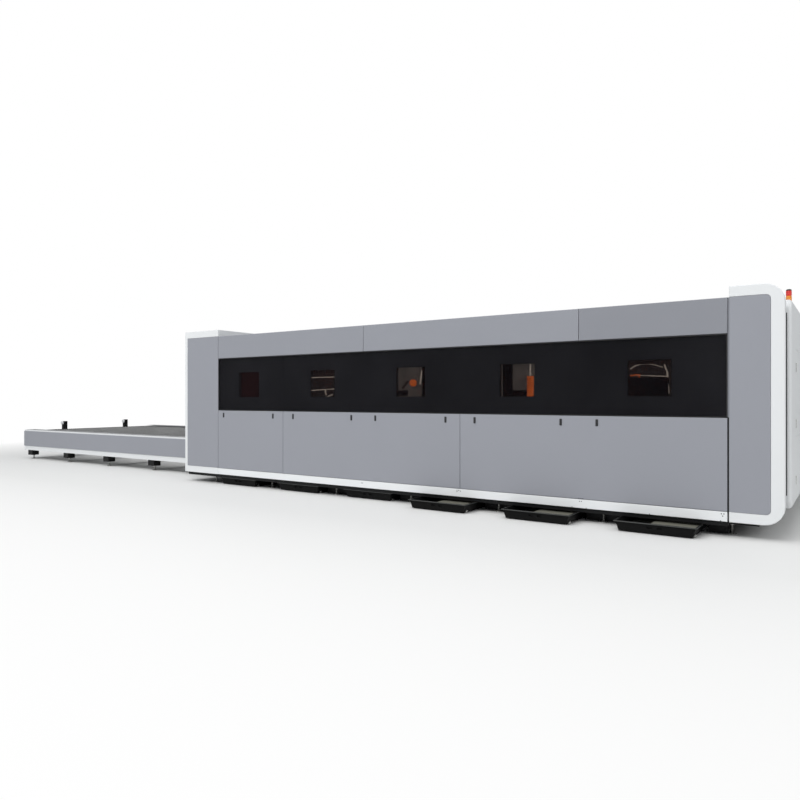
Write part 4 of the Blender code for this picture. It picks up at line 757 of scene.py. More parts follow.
class MACHINE_OT_laser_windows(bpy.types.Operator):
    """Build the safety windows: amber panes, gaskets, inner panes and the fittings seen between them"""

    bl_idname = "machine.laser_windows"
    bl_label = "Laser Windows"

    GASKET = 0.004
    # bars by window: finish, x and z of both ends, width. x counts from the window's middle
    BARS = (
        (),
        [("pipe", -0.22, 1.678, 0.22, 1.678, 0.012), ("pipe", -0.22, 1.492, 0.22, 1.510, 0.014),
         ("pipe", 0.03, 1.50, 0.045, 1.42, 0.012), ("pipe", 0.07, 1.402, 0.16, 1.43, 0.012)]
        + [("shade", -0.18 + 0.045 * count, 1.69, -0.18 + 0.045 * count, 1.785, 0.024) for count in range(9)],
        [("black", 0.198, 1.40, 0.198, 1.784, 0.053), ("black", -0.224, 1.445, -0.06, 1.445, 0.07),
         ("pipe", 0.135, 1.56, 0.166, 1.74, 0.012), ("shade", -0.14, 1.51, -0.05, 1.60, 0.02)],
        [("black", -0.13, 1.40, -0.13, 1.784, 0.12), ("black", -0.07, 1.435, 0.11, 1.435, 0.075),
         ("orange", 0.158, 1.40, 0.158, 1.635, 0.075), ("pipe", 0.158, 1.635, 0.158, 1.775, 0.012)],
        [("black", -0.224, 1.50, 0.19, 1.50, 0.19), ("shade", -0.21, 1.76, 0.22, 1.76, 0.045),
         ("pipe", -0.20, 1.69, -0.155, 1.72, 0.010), ("pipe", -0.155, 1.72, -0.095, 1.74, 0.010),
         ("pipe", -0.095, 1.74, -0.02, 1.742, 0.010), ("pipe", -0.02, 1.742, 0.06, 1.725, 0.010),
         ("pipe", 0.06, 1.725, 0.13, 1.70, 0.010), ("pipe", 0.145, 1.73, 0.175, 1.65, 0.012),
         ("pipe", 0.175, 1.65, 0.190, 1.43, 0.012), ("pipe", -0.20, 1.625, 0.17, 1.605, 0.009),
         ("orange", -0.20, 1.62, -0.10, 1.628, 0.012), ("orange", -0.107, 1.62, -0.107, 1.43, 0.010)],
    )
    # Glowing colours of the rooms seen through the windows: painted light.
    ROOMS = (
        ("red_lit_room", (0.022, 0.0015, 0.0015)), ("dim_lit_room", (0.030, 0.024, 0.022)),
        ("lit_room", (0.13, 0.112, 0.100)),
    )
    ROOM_OF = (0, 1, 2, 2, 1)
    LAMP_WINDOW = 3
    LAMP_RADIUS = 0.045
    LAMP_PLACE = (0.02, 1.577)

    def bar(self, bm, middle_x, ends, width, front, back):
        """A flat bar between two points of the window's plane."""
        start, end = Vector((middle_x + ends[0], ends[1])), Vector((middle_x + ends[2], ends[3]))
        along = (end - start).normalized()
        across = Vector((-along.y, along.x)) * width / 2
        outline = [tuple(start - across), tuple(end - across), tuple(end + across), tuple(start + across)]
        add_prism(bm, outline, "Y", front, back)

    def fittings(self, count, low, high):
        """What stands between the two panes: posts, pipes and orange guards."""
        # The shaded fittings, pipes and orange guards glow with their own colour: painted light of the
        # working room. The black ones stay dark.
        finishes = {
            "black": paint("unlit_fitting"),
            "shade": lit_surface("shaded_fitting", (0.05, 0.035, 0.03), 0.35),
            "pipe": lit_surface("lit_pipe", (0.38, 0.32, 0.27), 1.8),
            "orange": lit_surface("glowing_orange", (0.90, 0.18, 0.04), 1.1),
        }
        middle = (low.x + high.x) / 2
        for key, finish in finishes.items():
            bars = [bar for bar in self.BARS[count - 1] if bar[0] == key]
            lamp = key == "orange" and count == self.LAMP_WINDOW
            if not bars and not lamp:
                continue
            bm = bmesh.new()
            for order, (_, *ends, width) in enumerate(bars):
                front = high.y + 0.004 + 0.0002 * order
                self.bar(bm, middle, ends, width, front, front + 0.020)
            if lamp:
                place = (middle + self.LAMP_PLACE[0], self.LAMP_PLACE[1])
                add_turned(bm, [(self.LAMP_RADIUS * 0.8, high.y + 0.004), (self.LAMP_RADIUS, high.y + 0.012),
                                (self.LAMP_RADIUS, high.y + 0.04)], place, "Y", 32)
            make_piece(bm, f"window_{key}_{count}", finish, "root")

    def execute(self, context):
        repaint("front_wall", paint("inner_wall_paint"))
        wall_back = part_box("front_wall")[1].y
        rooms = [lit_surface(name, colour, 1.0) for name, colour in self.ROOMS]
        for count, (low, high) in enumerate(BAYS, 1):
            box_piece(low, high, f"amber_window_{count}", laser_glass(), "root",
                      [f"laser_window_{count}"], 0.001)
            bm = bmesh.new()
            outer, inner = (
                rounded(low.x + inset, high.x - inset, low.z + inset, high.z - inset, radius, radius, 4)
                for inset, radius in ((0.0005, 0.004), (self.GASKET, 0.003)))
            add_tube(bm, outer, inner, "Y", low.y - 0.0052, low.y - TOUCH)
            make_piece(bm, f"window_gasket_{count}", paint("gasket_rubber"), "root", (), 0.0012)
            box_piece((low.x, wall_back - 0.005, low.z), (high.x, wall_back - 0.001, high.z),
                      f"inner_pane_{count}", rooms[self.ROOM_OF[count - 1]], "root")
            self.fittings(count, low, high)
        return {"FINISHED"}


class MACHINE_OT_white_shells(bpy.types.Operator):
    """Build the left hood, both end caps and their grey infill panels"""

    bl_idname = "machine.white_shells"
    bl_label = "White Shells"

    CAP_DEPTH = 0.10
    CAP_BACKS = (0.15, 0.21)    # the solid's back lies between these depths

    def slimmer(self, bm):
        """Bring the back of a cap's shell nearer to its face. Its stand-offs reach further for it."""
        for face, inward in ((FACE_Y, 1), (CAD_BOX[1].y, -1)):
            for vert in bm.verts:
                if self.CAP_BACKS[0] < (vert.co.y - face) * inward < self.CAP_BACKS[1]:
                    vert.co.y = face + inward * self.CAP_DEPTH

    def execute(self, context):
        edge = context.scene.machine_cover.edge
        for node, name, change in (("left_hood", "hood_shell", None),
                                   ("front_end_cap", "front_cap_shell", self.slimmer),
                                   ("rear_end_cap", "rear_cap_shell", self.slimmer)):
            softened(node, name, white_coat(), "root", edge, 3, change)
        for node, name in (("left_hood_panel", "hood_infill"), ("front_end_panel", "cap_infill")):
            softened(node, name, grey_coat(), "root", steps=3)
        return {"FINISHED"}


class MACHINE_OT_end_housing(bpy.types.Operator):
    """Build the right end: the housing, its two doors with windows, hinges and the signal tower"""

    bl_idname = "machine.end_housing"
    bl_label = "End Housing"

    HINGE_RADIUS = 0.007
    HINGE_LENGTH = 0.09
    HINGE_SHARES = (0.12, 0.5, 0.88)
    KNUCKLES = ((-1.0, -0.36), (-0.33, 0.33), (0.36, 1.0))
    CORNER = 0.037
    SIDE_SHADE_INSET = 0.14
    RIBS = 5                    # ribs inside a signal lens
    LENS_RADIUS = 0.029
    STEM = 0.035                # from the tower's foot to its first lens
    TOP = 0.016                 # from the last lens to the tower's top
    FOOT_PROFILE = ((0.0315, 0.0), (0.0315, 0.010), (0.030, 0.012), (0.025, 0.012))
    STEM_PROFILE = ((0.025, -0.003), (0.028, 0.0), (0.028, 0.004))
    TOP_PROFILE = ((0.028, -0.002), (0.028, 0.004), (0.025, 0.010), (0.015, 0.015))
    LENSES = (("green", (0.03, 0.45, 0.10)), ("orange", (0.85, 0.28, 0.02)), ("red", (0.70, 0.02, 0.015)))

    def door(self, place, side):
        node, body = place + "_end_door", place + "_door"
        softened(node, place + "_door_leaf", white_coat(), body, 0.003, 3)
        low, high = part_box(node)
        glass_low, glass_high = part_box(place + "_door_glass")
        box_piece(glass_low, glass_high, place + "_door_pane", door_glass(), body,
                  [place + "_door_glass"], 0.0008)
        bm = bmesh.new()
        outer, inner = (
            rounded(glass_low.y + inset, glass_high.y - inset, glass_low.z + inset, glass_high.z - inset,
                    radius, radius, 4)
            for inset, radius in ((0.0005, 0.003), (0.016, 0.014)))
        add_tube(bm, outer, inner, "X", glass_high.x + TOUCH, high.x + 0.002)
        make_piece(bm, place + "_door_gasket", paint("gasket_rubber"), body, (), 0.0015)
        hinge_y = low.y if side < 0 else high.y
        bm = bmesh.new()
        for share in self.HINGE_SHARES:
            middle = low.z + (high.z - low.z) * share
            for ends in self.KNUCKLES:
                profile = [(self.HINGE_RADIUS, middle + share * self.HINGE_LENGTH / 2) for share in ends]
                add_turned(bm, profile, (high.x, hinge_y), "Z", 20)
        make_piece(bm, place + "_door_hinges", bare("zinc_plated_steel"), body, (), 0.0008)

    def rounder(self, bm):
        """Round the outer edge of the housing, all the way round its end face."""
        low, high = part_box("end_housing")
        middle = (low + high) / 2
        outer = []
        for edge in bm.edges:
            if len(edge.link_faces) != 2 or min(vert.co.x for vert in edge.verts) < high.x - 0.001:
                continue
            end, side = sorted(edge.link_faces, key=lambda face: -face.normal.x)
            outward = side.calc_center_median() - middle
            outward.x = 0.0
            if end.normal.x > 0.9 and abs(side.normal.x) < 0.1 and side.normal.dot(outward) > 0:
                outer.append(edge)
        bmesh.ops.bevel(bm, geom=outer, offset=self.CORNER, offset_type="OFFSET", segments=6, profile=0.5,
                        affect="EDGES")

    def execute(self, context):
        edge = context.scene.machine_cover.edge
        softened("end_housing", "housing_shell", white_coat(), "root", edge, 3, self.rounder)
        self.door("front", -1)
        self.door("rear", 1)
        # Dark rubber strips on both side faces of the housing: painted shade, where the caps shadow those
        # faces.
        low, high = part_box("end_housing")
        bm = bmesh.new()
        for edge, side in ((low.y, -1), (high.y, 1)):
            near, far = sorted((edge + side * TOUCH, edge + side * 0.003))
            add_box(bm, (high.x - self.SIDE_SHADE_INSET, near, low.z + self.SIDE_SHADE_INSET),
                    (high.x - self.CORNER - 0.001, far, high.z - self.SIDE_SHADE_INSET))
        make_piece(bm, "housing_side_shade", paint("gasket_rubber"), "root", (), 0.001)
        low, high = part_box("signal_tower")
        middle = ((low.x + high.x) / 2, (low.y + high.y) / 2)
        radius = self.LENS_RADIUS
        stem, top = low.z + self.STEM, high.z - self.TOP
        bm = bmesh.new()
        add_turned(bm, placed(self.FOOT_PROFILE, low.z) + placed(self.STEM_PROFILE, stem), middle, "Z")
        add_turned(bm, placed(self.TOP_PROFILE, top) + [(0.007, high.z)], middle, "Z")
        make_piece(bm, "signal_base", paint("black_moulded_plastic"), "root", ["signal_tower"])
        height = (top - stem) / len(self.LENSES)
        for count, (name, colour) in enumerate(self.LENSES):
            bm = bmesh.new()
            start = stem + height * count
            profile = [(radius - 0.004, start + 0.0005), (radius - 0.001, start + 0.003)]
            for rib in range(self.RIBS):
                z = start + 0.004 + (height - 0.010) * rib / self.RIBS
                profile += [(radius, z + 0.002), (radius, z + 0.006), (radius - 0.0012, z + 0.0078)]
            profile += [(radius - 0.001, start + height - 0.004), (radius - 0.004, start + height - 0.0005)]
            add_turned(bm, profile, middle, "Z", 32)
            make_piece(bm, f"signal_lens_{name}", lens_plastic(f"{name}_lens", colour), "root")
        return {"FINISHED"}


class MACHINE_OT_roof_and_rear(bpy.types.Operator):
    """Build the roof, the rear wall and the flange of its duct port"""

    bl_idname = "machine.roof_and_rear"
    bl_label = "Roof and Rear Wall"

    FLANGE = 0.035
    PORT_RADIUS = 0.15
    PORT_HEIGHT = 0.72
    BOLTS = 8

    def execute(self, context):
        for node, name, edge in (("roof_cover", "roof_sheets", 0.003), ("rear_wall", "rear_panels", 0.0015),
                                 ("rear_duct_panel", "duct_panel", 0.0015)):
            softened(node, name, grey_coat(), "root", edge)
        low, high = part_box("rear_duct_panel")
        middle = ((low.x + high.x) / 2, self.PORT_HEIGHT)
        segments = 48
        bm = bmesh.new()
        outer, inner = self.PORT_RADIUS + self.FLANGE, self.PORT_RADIUS - 0.004
        add_tube(bm, circle(middle, outer, segments), circle(middle, inner, segments), "Y",
                 high.y + TOUCH, high.y + 0.006)
        add_tube(bm, circle(middle, inner + 0.003, segments), circle(middle, inner, segments), "Y",
                 low.y + 0.002, high.y + 0.03)
        make_piece(bm, "duct_flange", bare("zinc_plated_steel"), "root", (), 0.0008)
        bm = bmesh.new()
        for count in range(self.BOLTS):
            angle = 2 * math.pi * (count + 0.5) / self.BOLTS
            reach = self.PORT_RADIUS + self.FLANGE * 0.5
            x, z = middle[0] + reach * math.cos(angle), middle[1] + reach * math.sin(angle)
            add_screw(bm, (x, high.y + 0.006, z), "+Y", context.scene.machine_cover.screw)
        make_piece(bm, "duct_screws", bare("zinc_plated_steel"), "root")
        return {"FINISHED"}


PAD_PROFILE = ((0.046, 0.0), (0.0465, 0.008), (0.042, 0.0125), (0.026, 0.0145), (0.020, 0.022))
PAD_TOP = 0.024
THREAD_START = 0.014
THREAD_RISE = 0.004
WASHER_PROFILE = ((0.026, -0.018), (0.026, -0.0152))
NUT_PROFILE = ((0.0225, -0.015), (0.0235, -0.012), (0.0235, -0.003), (0.0225, -TOUCH))


def add_foot(bm, x, y, top, bolt):
    """A levelling foot: a domed pad, its threaded bolt, a washer and a lock nut."""
    thread = [(bolt, THREAD_START - 0.001)]
    turns = max(2, int((top - 0.02) / THREAD_RISE))
    for count in range(turns):
        z = THREAD_START + THREAD_RISE * count
        thread += [(bolt, z), (bolt * 0.88, z + THREAD_RISE / 2)]
    thread.append((bolt, THREAD_START + THREAD_RISE * turns))
    for profile, segments in ((placed(PAD_PROFILE, 0.0) + [(bolt, PAD_TOP)], 28), (thread, 16),
                              (placed(WASHER_PROFILE, top), 24), (placed(NUT_PROFILE, top), 6)):
        add_turned(bm, profile, (x, y), "Z", segments)


class MACHINE_OT_bed(bpy.types.Operator):
    """Build the bed with its rails, guides and levelling feet"""

    bl_idname = "machine.bed"
    bl_label = "Bed"

    FOOT_INSET = 0.085
    LAST_INSET = 0.18           # the last pair of feet stands further in
    CROSS_BOTTOM = 0.112
    SOLE_INSET = 0.06
    # Black plates between the trays, behind the feet: painted shade for the dark floor under the bed.
    SHADE_PLATE_SPACE = 0.02
    SHADE_PLATE_INSET = 0.14
    SHADE_PLATE_BOTTOM = 0.004
    SHADE_PLATE_SHEET = 0.004

    def execute(self, context):
        softened("bed_frame", "bed_weldment", black_paint(), "root", 0.004)
        for place in ("front", "rear"):
            softened(f"{place}_guide_rail", f"{place}_rail", bare("ground_rail_steel"), "root",
                     0.0012)
            softened(f"{place}_pallet_guide", f"{place}_bed_guide", black_paint(), "root",
                     0.002)
        wall_low, wall_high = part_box("front_wall")
        bm = bmesh.new()
        add_box(bm, (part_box("left_hood")[0].x + self.SOLE_INSET, wall_low.y, self.CROSS_BOTTOM + 2 * TOUCH),
                (wall_high.x, wall_high.y, wall_low.z - TOUCH))
        make_piece(bm, "sole_bar", black_paint(), "root", (), 0.004)
        bolt = context.scene.machine_table.bolt
        bm = bmesh.new()
        trays = [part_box(f"scrap_tray_{count}") for count in range(1, 7)]
        middles = [(low.x + high.x) / 2 for low, high in trays]
        pitch = middles[1] - middles[0]
        low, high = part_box("bed_frame")
        # Black plates behind the feet between the trays: painted shade, which keeps the floor under the bed
        # dark.
        shade_plate_mesh = bmesh.new()
        for (_, before), (after, _) in zip(trays[1:], trays[2:] + [(wall_high, None)]):
            face = low.y + self.SHADE_PLATE_INSET
            add_box(shade_plate_mesh, (before.x + self.SHADE_PLATE_SPACE, face, self.SHADE_PLATE_BOTTOM),
                    (after.x - self.SHADE_PLATE_SPACE, face + self.SHADE_PLATE_SHEET, self.CROSS_BOTTOM - TOUCH))
        make_piece(shade_plate_mesh, "painted_shade_plates", black_paint(), "root", (), 0.001)
        for x in [middles[0] - pitch / 2] + [middle + pitch / 2 for middle in middles]:
            inset = self.LAST_INSET if x > middles[-1] else self.FOOT_INSET
            for y in (low.y + inset, high.y - inset):
                add_foot(bm, x, y, self.CROSS_BOTTOM, bolt)
        make_piece(bm, "bed_feet", bare("zinc_plated_steel"), "root")
        return {"FINISHED"}


def tooth_outline(half, top, depth, tooth, pitch):
    """A support slat seen from its side: a flat strip with pointed teeth along its top."""
    count = max(2, round(2 * half / pitch))
    step = 2 * half / count
    valley, tip = step * 0.12, step * 0.04
    points = [(-half, top - depth), (half, top - depth)]
    for index in range(count, 0, -1):
        right = -half + step * index
        middle = right - step / 2
        points += [(right, top - tooth), (right - valley, top - tooth), (middle + tip, top),
                   (middle - tip, top), (right - step + valley, top - tooth)]
    points.append((-half, top - tooth))
    return points


class MACHINE_OT_pallets(bpy.types.Operator):
    """Build the two slatted pallets with their frames, bearers, combs and wheels"""

    bl_idname = "machine.pallets"
    bl_label = "Pallets"

    TUBE = 0.08
    HEIGHT = 0.12
    TOOTH = 0.03
    SLAT_DEPTH = 0.09
    WHEEL_RADIUS = 0.035
    # the wheel's tread from its inner rim, and its outer side from the outer face
    WHEEL_INNER = ((WHEEL_RADIUS - 0.002, 0.0), (WHEEL_RADIUS, 0.002))
    WHEEL_OUTER = (
        (WHEEL_RADIUS, -0.003), (WHEEL_RADIUS - 0.003, 0.0), (0.022, 0.0), (0.021, -0.004),
        (0.012, -0.004), (0.011, -0.001), (0.003, -0.001),
    )
    AXLE_RADIUS = 0.014
    AXLE_LENGTH = 0.018
    WHEEL_DROP = 0.10
    WHEEL_REACH = 0.055
    WHEELS = 4
    BEARERS = 2
    HALF = 1.31
    LUG_FROM_END = 0.30

    def pallet(self, name, table, lug_up):
        low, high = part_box(name)
        middle_y = (low.y + high.y) / 2
        top = high.z
        bottom = top - self.HEIGHT
        tube_top = top - self.TOOTH + 0.001
        half = self.HALF
        bm = bmesh.new()
        ends = ((low.x, low.x + self.TUBE), (high.x - self.TUBE, high.x))
        for start, end in ends:
            add_box(bm, (start, middle_y - half, bottom), (end, middle_y + half, tube_top))
        for side in (-1, 1):
            near, far = sorted((middle_y + side * half, middle_y + side * (half - self.TUBE)))
            add_box(bm, (low.x + self.TUBE - 0.001, near, bottom),
                    (high.x - self.TUBE + 0.001, far, tube_top))
            inner = middle_y + side * (half - self.TUBE)
            comb_near, comb_far = sorted((inner - side * 0.006, inner + side * 0.001))
            add_box(bm, (low.x + self.TUBE, comb_near, top - self.SLAT_DEPTH - 0.008),
                    (high.x - self.TUBE, comb_far, tube_top - 0.012))
        for count in range(self.BEARERS):
            y = middle_y - half + 2 * half * (count + 1) / (self.BEARERS + 1)
            add_box(bm, (low.x + self.TUBE - 0.001, y - 0.02, bottom + 0.003),
                    (high.x - self.TUBE + 0.001, y + 0.02, top - self.SLAT_DEPTH - 0.0005))
        for side in (-1, 1):
            lug_x = high.x - self.LUG_FROM_END
            inner_y = half - 0.02
            outer_y = (high.y - low.y) / 2 - 0.002
            rise = (bottom + 0.0006, bottom + 0.0086) if lug_up else (low.z, low.z + 0.008)
            near, far = sorted((middle_y + side * inner_y, middle_y + side * outer_y))
            add_box(bm, (lug_x - 0.03, near, rise[0]), (lug_x + 0.03, far, rise[1]))
            if not lug_up:
                face_near, face_far = sorted((middle_y + side * inner_y, middle_y + side * half))
                add_box(bm, (lug_x - 0.03, face_near, rise[0]), (lug_x + 0.03, face_far, bottom + 0.02))
        make_piece(bm, name + "_frame", black_paint(), name, [name], 0.003)
        bm = bmesh.new()
        span = high.x - low.x - 2 * self.TUBE
        count = round(span / table.slat_pitch)
        step = span / count
        outline = tooth_outline(half - self.TUBE - 0.0065, top, self.SLAT_DEPTH, self.TOOTH,
                                table.tooth_pitch)
        outline = [(middle_y + y, z) for y, z in outline]
        thickness = table.slat_thickness
        for index in range(count):
            x = low.x + self.TUBE + step * (index + 0.5)
            add_prism(bm, outline, "X", x - thickness / 2, x + thickness / 2)
        make_piece(bm, name + "_slats", bare("toothed_slat_steel"), name)
        bm = bmesh.new()
        axle_z = top - self.WHEEL_DROP
        for count in range(self.WHEELS):
            x = low.x + (high.x - low.x) * (count + 0.5) / self.WHEELS
            for side in (-1, 1):
                base = middle_y + side * (half + 0.001)
                rim, outer = base + side * self.AXLE_LENGTH, middle_y + side * (half + self.WHEEL_REACH)
                profile = [(self.AXLE_RADIUS, base), (self.AXLE_RADIUS, rim)]
                profile += placed(self.WHEEL_INNER, rim, side) + placed(self.WHEEL_OUTER, outer, side)
                add_turned(bm, profile, (x, axle_z), "Y", 28)
        make_piece(bm, name + "_wheels", bare("zinc_plated_steel"), name)

    def execute(self, context):
        table = context.scene.machine_table
        self.pallet("upper_pallet", table, True)
        self.pallet("lower_pallet", table, False)
        return {"FINISHED"}


def loop_point(distance, left, right, middle_z, radius):
    """A point and its direction on a chain's loop: two straight runs and two half turns."""
    straight = right - left
    turn = math.pi * radius
    distance %= 2 * (straight + turn)
    if distance < straight:
        return left + distance, middle_z + radius, 0.0
    distance -= straight
    if distance < turn:
        angle = distance / radius
        return right + radius * math.sin(angle), middle_z + radius * math.cos(angle), -angle
    distance -= turn
    if distance < straight:
        return right - distance, middle_z - radius, math.pi
    angle = (distance - straight) / radius
    return left - radius * math.sin(angle), middle_z - radius * math.cos(angle), math.pi - angle


class MACHINE_OT_exchange_drive(bpy.types.Operator):
    """Build the roller chains, the sprocket shafts and the gear motor"""

    bl_idname = "machine.exchange_drive"
    bl_label = "Exchange Drive"

    PITCH_RADIUS = 0.045
    PLATE_HALF = 0.0058
    ROLLER = 0.0042
    TEETH = 11
    # share of the pitch and reach of a sprocket tooth's corners
    TOOTH = ((0.0, 0.0372), (0.22, 0.0378), (0.38, 0.0455), (0.62, 0.0455), (0.78, 0.0378))
    SHAFT_RADIUS = 0.0199
    HUB_RADIUS = 0.032
    HUB_HALF = 0.012
    SPROCKET_HALF = 0.0018

    def chain(self, name, pitch):
        low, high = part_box(name)
        reach = (high.z - low.z) / 2
        radius = self.PITCH_RADIUS
        left, right = low.x + reach, high.x - reach
        middle_y, middle_z = (low.y + high.y) / 2, (low.z + high.z) / 2
        length = 2 * (right - left + math.pi * radius)
        links = 2 * round(length / pitch / 2)
        points = [loop_point(length * count / links, left, right, middle_z, radius) for count in range(links)]
        bm = bmesh.new()
        half = self.PLATE_HALF
        wide = (high.y - low.y) / 2
        for count in range(links):
            x0, z0, _ = points[count]
            x1, z1, _ = points[(count + 1) % links]
            along = Vector((x1 - x0, z1 - z0)).normalized()
            across = Vector((-along.y, along.x))
            outline = []
            for end, sign in (((x0, z0), -1), ((x1, z1), 1)):
                for turn in (-1, 0, 1):
                    angle = turn * math.pi / 4
                    offset = along * (sign * math.cos(angle)) + across * (sign * math.sin(angle))
                    outline.append((end[0] + half * offset.x, end[1] + half * offset.y))
            inner, outer = (0.0022, 0.0040) if count % 2 else (0.0044, 0.0062)
            for side in (-1, 1):
                add_prism(bm, outline, "Y", middle_y + side * inner, middle_y + side * outer)
            add_turned(bm, [(self.ROLLER, middle_y - wide * 0.92), (self.ROLLER, middle_y + wide * 0.92)],
                       (x0, z0), "Y", 8)
        make_piece(bm, name + "_links", bare("oiled_chain_steel"), "root", [name])

    def shaft(self, name, chains):
        low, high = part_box(name)
        middle = ((low.x + high.x) / 2, (low.z + high.z) / 2)
        bm = bmesh.new()
        radius = self.SHAFT_RADIUS
        add_turned(bm, [(radius - 0.002, low.y), (radius, low.y + 0.002), (radius, high.y - 0.002),
                        (radius - 0.002, high.y)], middle, "Y", 32)
        for y in chains:
            outline = []
            for tooth in range(self.TEETH):
                for share, reach in self.TOOTH:
                    angle = 2 * math.pi * (tooth + share) / self.TEETH
                    outline.append((middle[0] + reach * math.cos(angle), middle[1] + reach * math.sin(angle)))
            add_prism(bm, outline, "Y", y - self.SPROCKET_HALF, y + self.SPROCKET_HALF)
            hub = ((self.HUB_RADIUS, -self.HUB_HALF), (self.HUB_RADIUS, self.HUB_HALF))
            add_turned(bm, placed(hub, y), middle, "Y", 24)
        make_piece(bm, name + "_turned", bare("shaft_steel"), name, [name], 0.0006)

    def execute(self, context):
        pitch = context.scene.machine_table.chain_pitch
        chains = []
        for name in ("front_chain", "rear_chain"):
            low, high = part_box(name)
            chains.append((low.y + high.y) / 2)
            self.chain(name, pitch)
        self.shaft("drive_shaft", chains)
        self.shaft("idler_shaft", chains)
        softened("exchange_motor", "gear_motor", black_paint(), "root", 0.004)
        return {"FINISHED"}


class MACHINE_OT_exchange_table(bpy.types.Operator):
    """Build the exchange table: frame, side covers, white channels, end cover, feet and buffers"""

    bl_idname = "machine.exchange_table"
    bl_label = "Exchange Table"

    BOTTOM = 0.20
    LIFT = 0.015                # the covers' lower edges above the solids'
    END_STRIP = 0.12
    CROSSES = 5
    CROSS_HALF = 0.09
    CROSS_TOP = 0.245
    BLOCK = 0.15                # length of the blocks that stand on the feet
    BLOCK_BOTTOM = 0.09
    BLOCK_OUTER = 1.725
    FOOT_INSET = 0.085
    FIRST_CROSS = 0.2327
    CROSS_PITCH = 1.485
    WALL_INNER = 1.50
    BEAM_TOP = 0.6395
    STOP_RADIUS = 0.042
    BUFFER = (
        (0.010, -0.036), (0.010, -0.032), (STOP_RADIUS - 0.004, -0.032), (STOP_RADIUS, -0.028),
        (STOP_RADIUS, -0.001), (STOP_RADIUS - 0.003, 0.0),
    )
    STOP_Y = 0.81
    STOP_HALF = 0.05
    STOP_LENGTH = 0.07
    STOP_MIDDLE = 0.043
    TRIM_STRIP = (0.03, 0.22)

    def lifted(self, bm):
        """Raise a cover's lower edge to the bottom of the frame."""
        for vert in bm.verts:
            if vert.co.z < self.BOTTOM:
                vert.co.z += self.LIFT

    def frame_parts(self, bm):
        """The frame above its lower edge, with short blocks on its feet, cross beams and end stops."""
        low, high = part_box("table_frame")
        middle = (low.y + high.y) / 2
        cut_off(bm, self.BOTTOM, True)
        cut_off(bm, self.BEAM_TOP, False)
        inner = self.WALL_INNER + TOUCH
        for count in range(self.CROSSES):
            x = low.x + self.FIRST_CROSS + self.CROSS_PITCH * count
            start, end = x - self.CROSS_HALF, x + self.CROSS_HALF
            add_box(bm, (start, middle - inner, self.BOTTOM), (end, middle + inner, self.CROSS_TOP))
            for side in (-1, 1):
                near, far = sorted(middle + side * (self.BLOCK_OUTER - share) for share in (0.0, self.BLOCK))
                add_box(bm, (start, near, self.BLOCK_BOTTOM), (end, far, self.BOTTOM + TOUCH))
        for y in (middle - self.STOP_Y, middle + self.STOP_Y):
            add_box(bm, (low.x, y - self.STOP_HALF, self.BEAM_TOP - TOUCH),
                    (low.x + self.STOP_LENGTH, y + self.STOP_HALF, high.z))

    def side_panel(self, place):
        low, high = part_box(f"{place}_table_panel")
        low.z += self.LIFT
        bm = bmesh.new()
        fold = low.x + self.END_STRIP
        for start, end in ((low.x, fold - 0.001), (fold + 0.001, high.x)):
            add_box(bm, (start, low.y, low.z), (end, high.y, high.z))
        make_piece(bm, f"{place}_table_cover", grey_coat(), "root",
                   [f"{place}_table_panel"], 0.003, 3)

    def trim_strip(self, place, side):
        """A bare steel strip along the top of the white channel, where sheets are lifted over."""
        low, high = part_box(f"{place}_table_trim")
        edge = low.y if side < 0 else high.y
        near, far = sorted(edge - side * share for share in self.TRIM_STRIP)
        box_piece((low.x + 0.01, near, high.z + TOUCH), (high.x - 0.01, far, high.z + 0.002),
                  f"{place}_trim_strip", bare("worn_strip_steel"), "root", (), 0.0005)

    def execute(self, context):
        softened("table_frame", "table_weldment", black_paint(), "root",
                 change=self.frame_parts)
        for place, side in (("front", -1), ("rear", 1)):
            self.side_panel(place)
            softened(f"{place}_table_trim", f"{place}_table_channel", white_coat(), "root",
                     0.0012, change=self.lifted)
            self.trim_strip(place, side)
        softened("table_end_panel", "table_end_cover", grey_coat(), "root", steps=3,
                 change=self.lifted)
        bolt = context.scene.machine_table.bolt
        low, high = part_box("table_frame")
        first = low.x + self.FIRST_CROSS
        bm = bmesh.new()
        for count in range(self.CROSSES):
            for y in (low.y + self.FOOT_INSET, high.y - self.FOOT_INSET):
                add_foot(bm, first + self.CROSS_PITCH * count, y, self.BLOCK_BOTTOM, bolt)
        make_piece(bm, "table_feet", bare("zinc_plated_steel"), "root")
        middle_y = (low.y + high.y) / 2
        bm = bmesh.new()
        for y in (-self.STOP_Y, self.STOP_Y):
            near = middle_y + y - self.STOP_HALF
            centre = (low.x + self.STOP_MIDDLE, high.z - self.STOP_MIDDLE)
            add_turned(bm, placed(self.BUFFER, near), centre, "Y", 36)
        make_piece(bm, "buffer_rollers", white_coat(), "root")
        return {"FINISHED"}


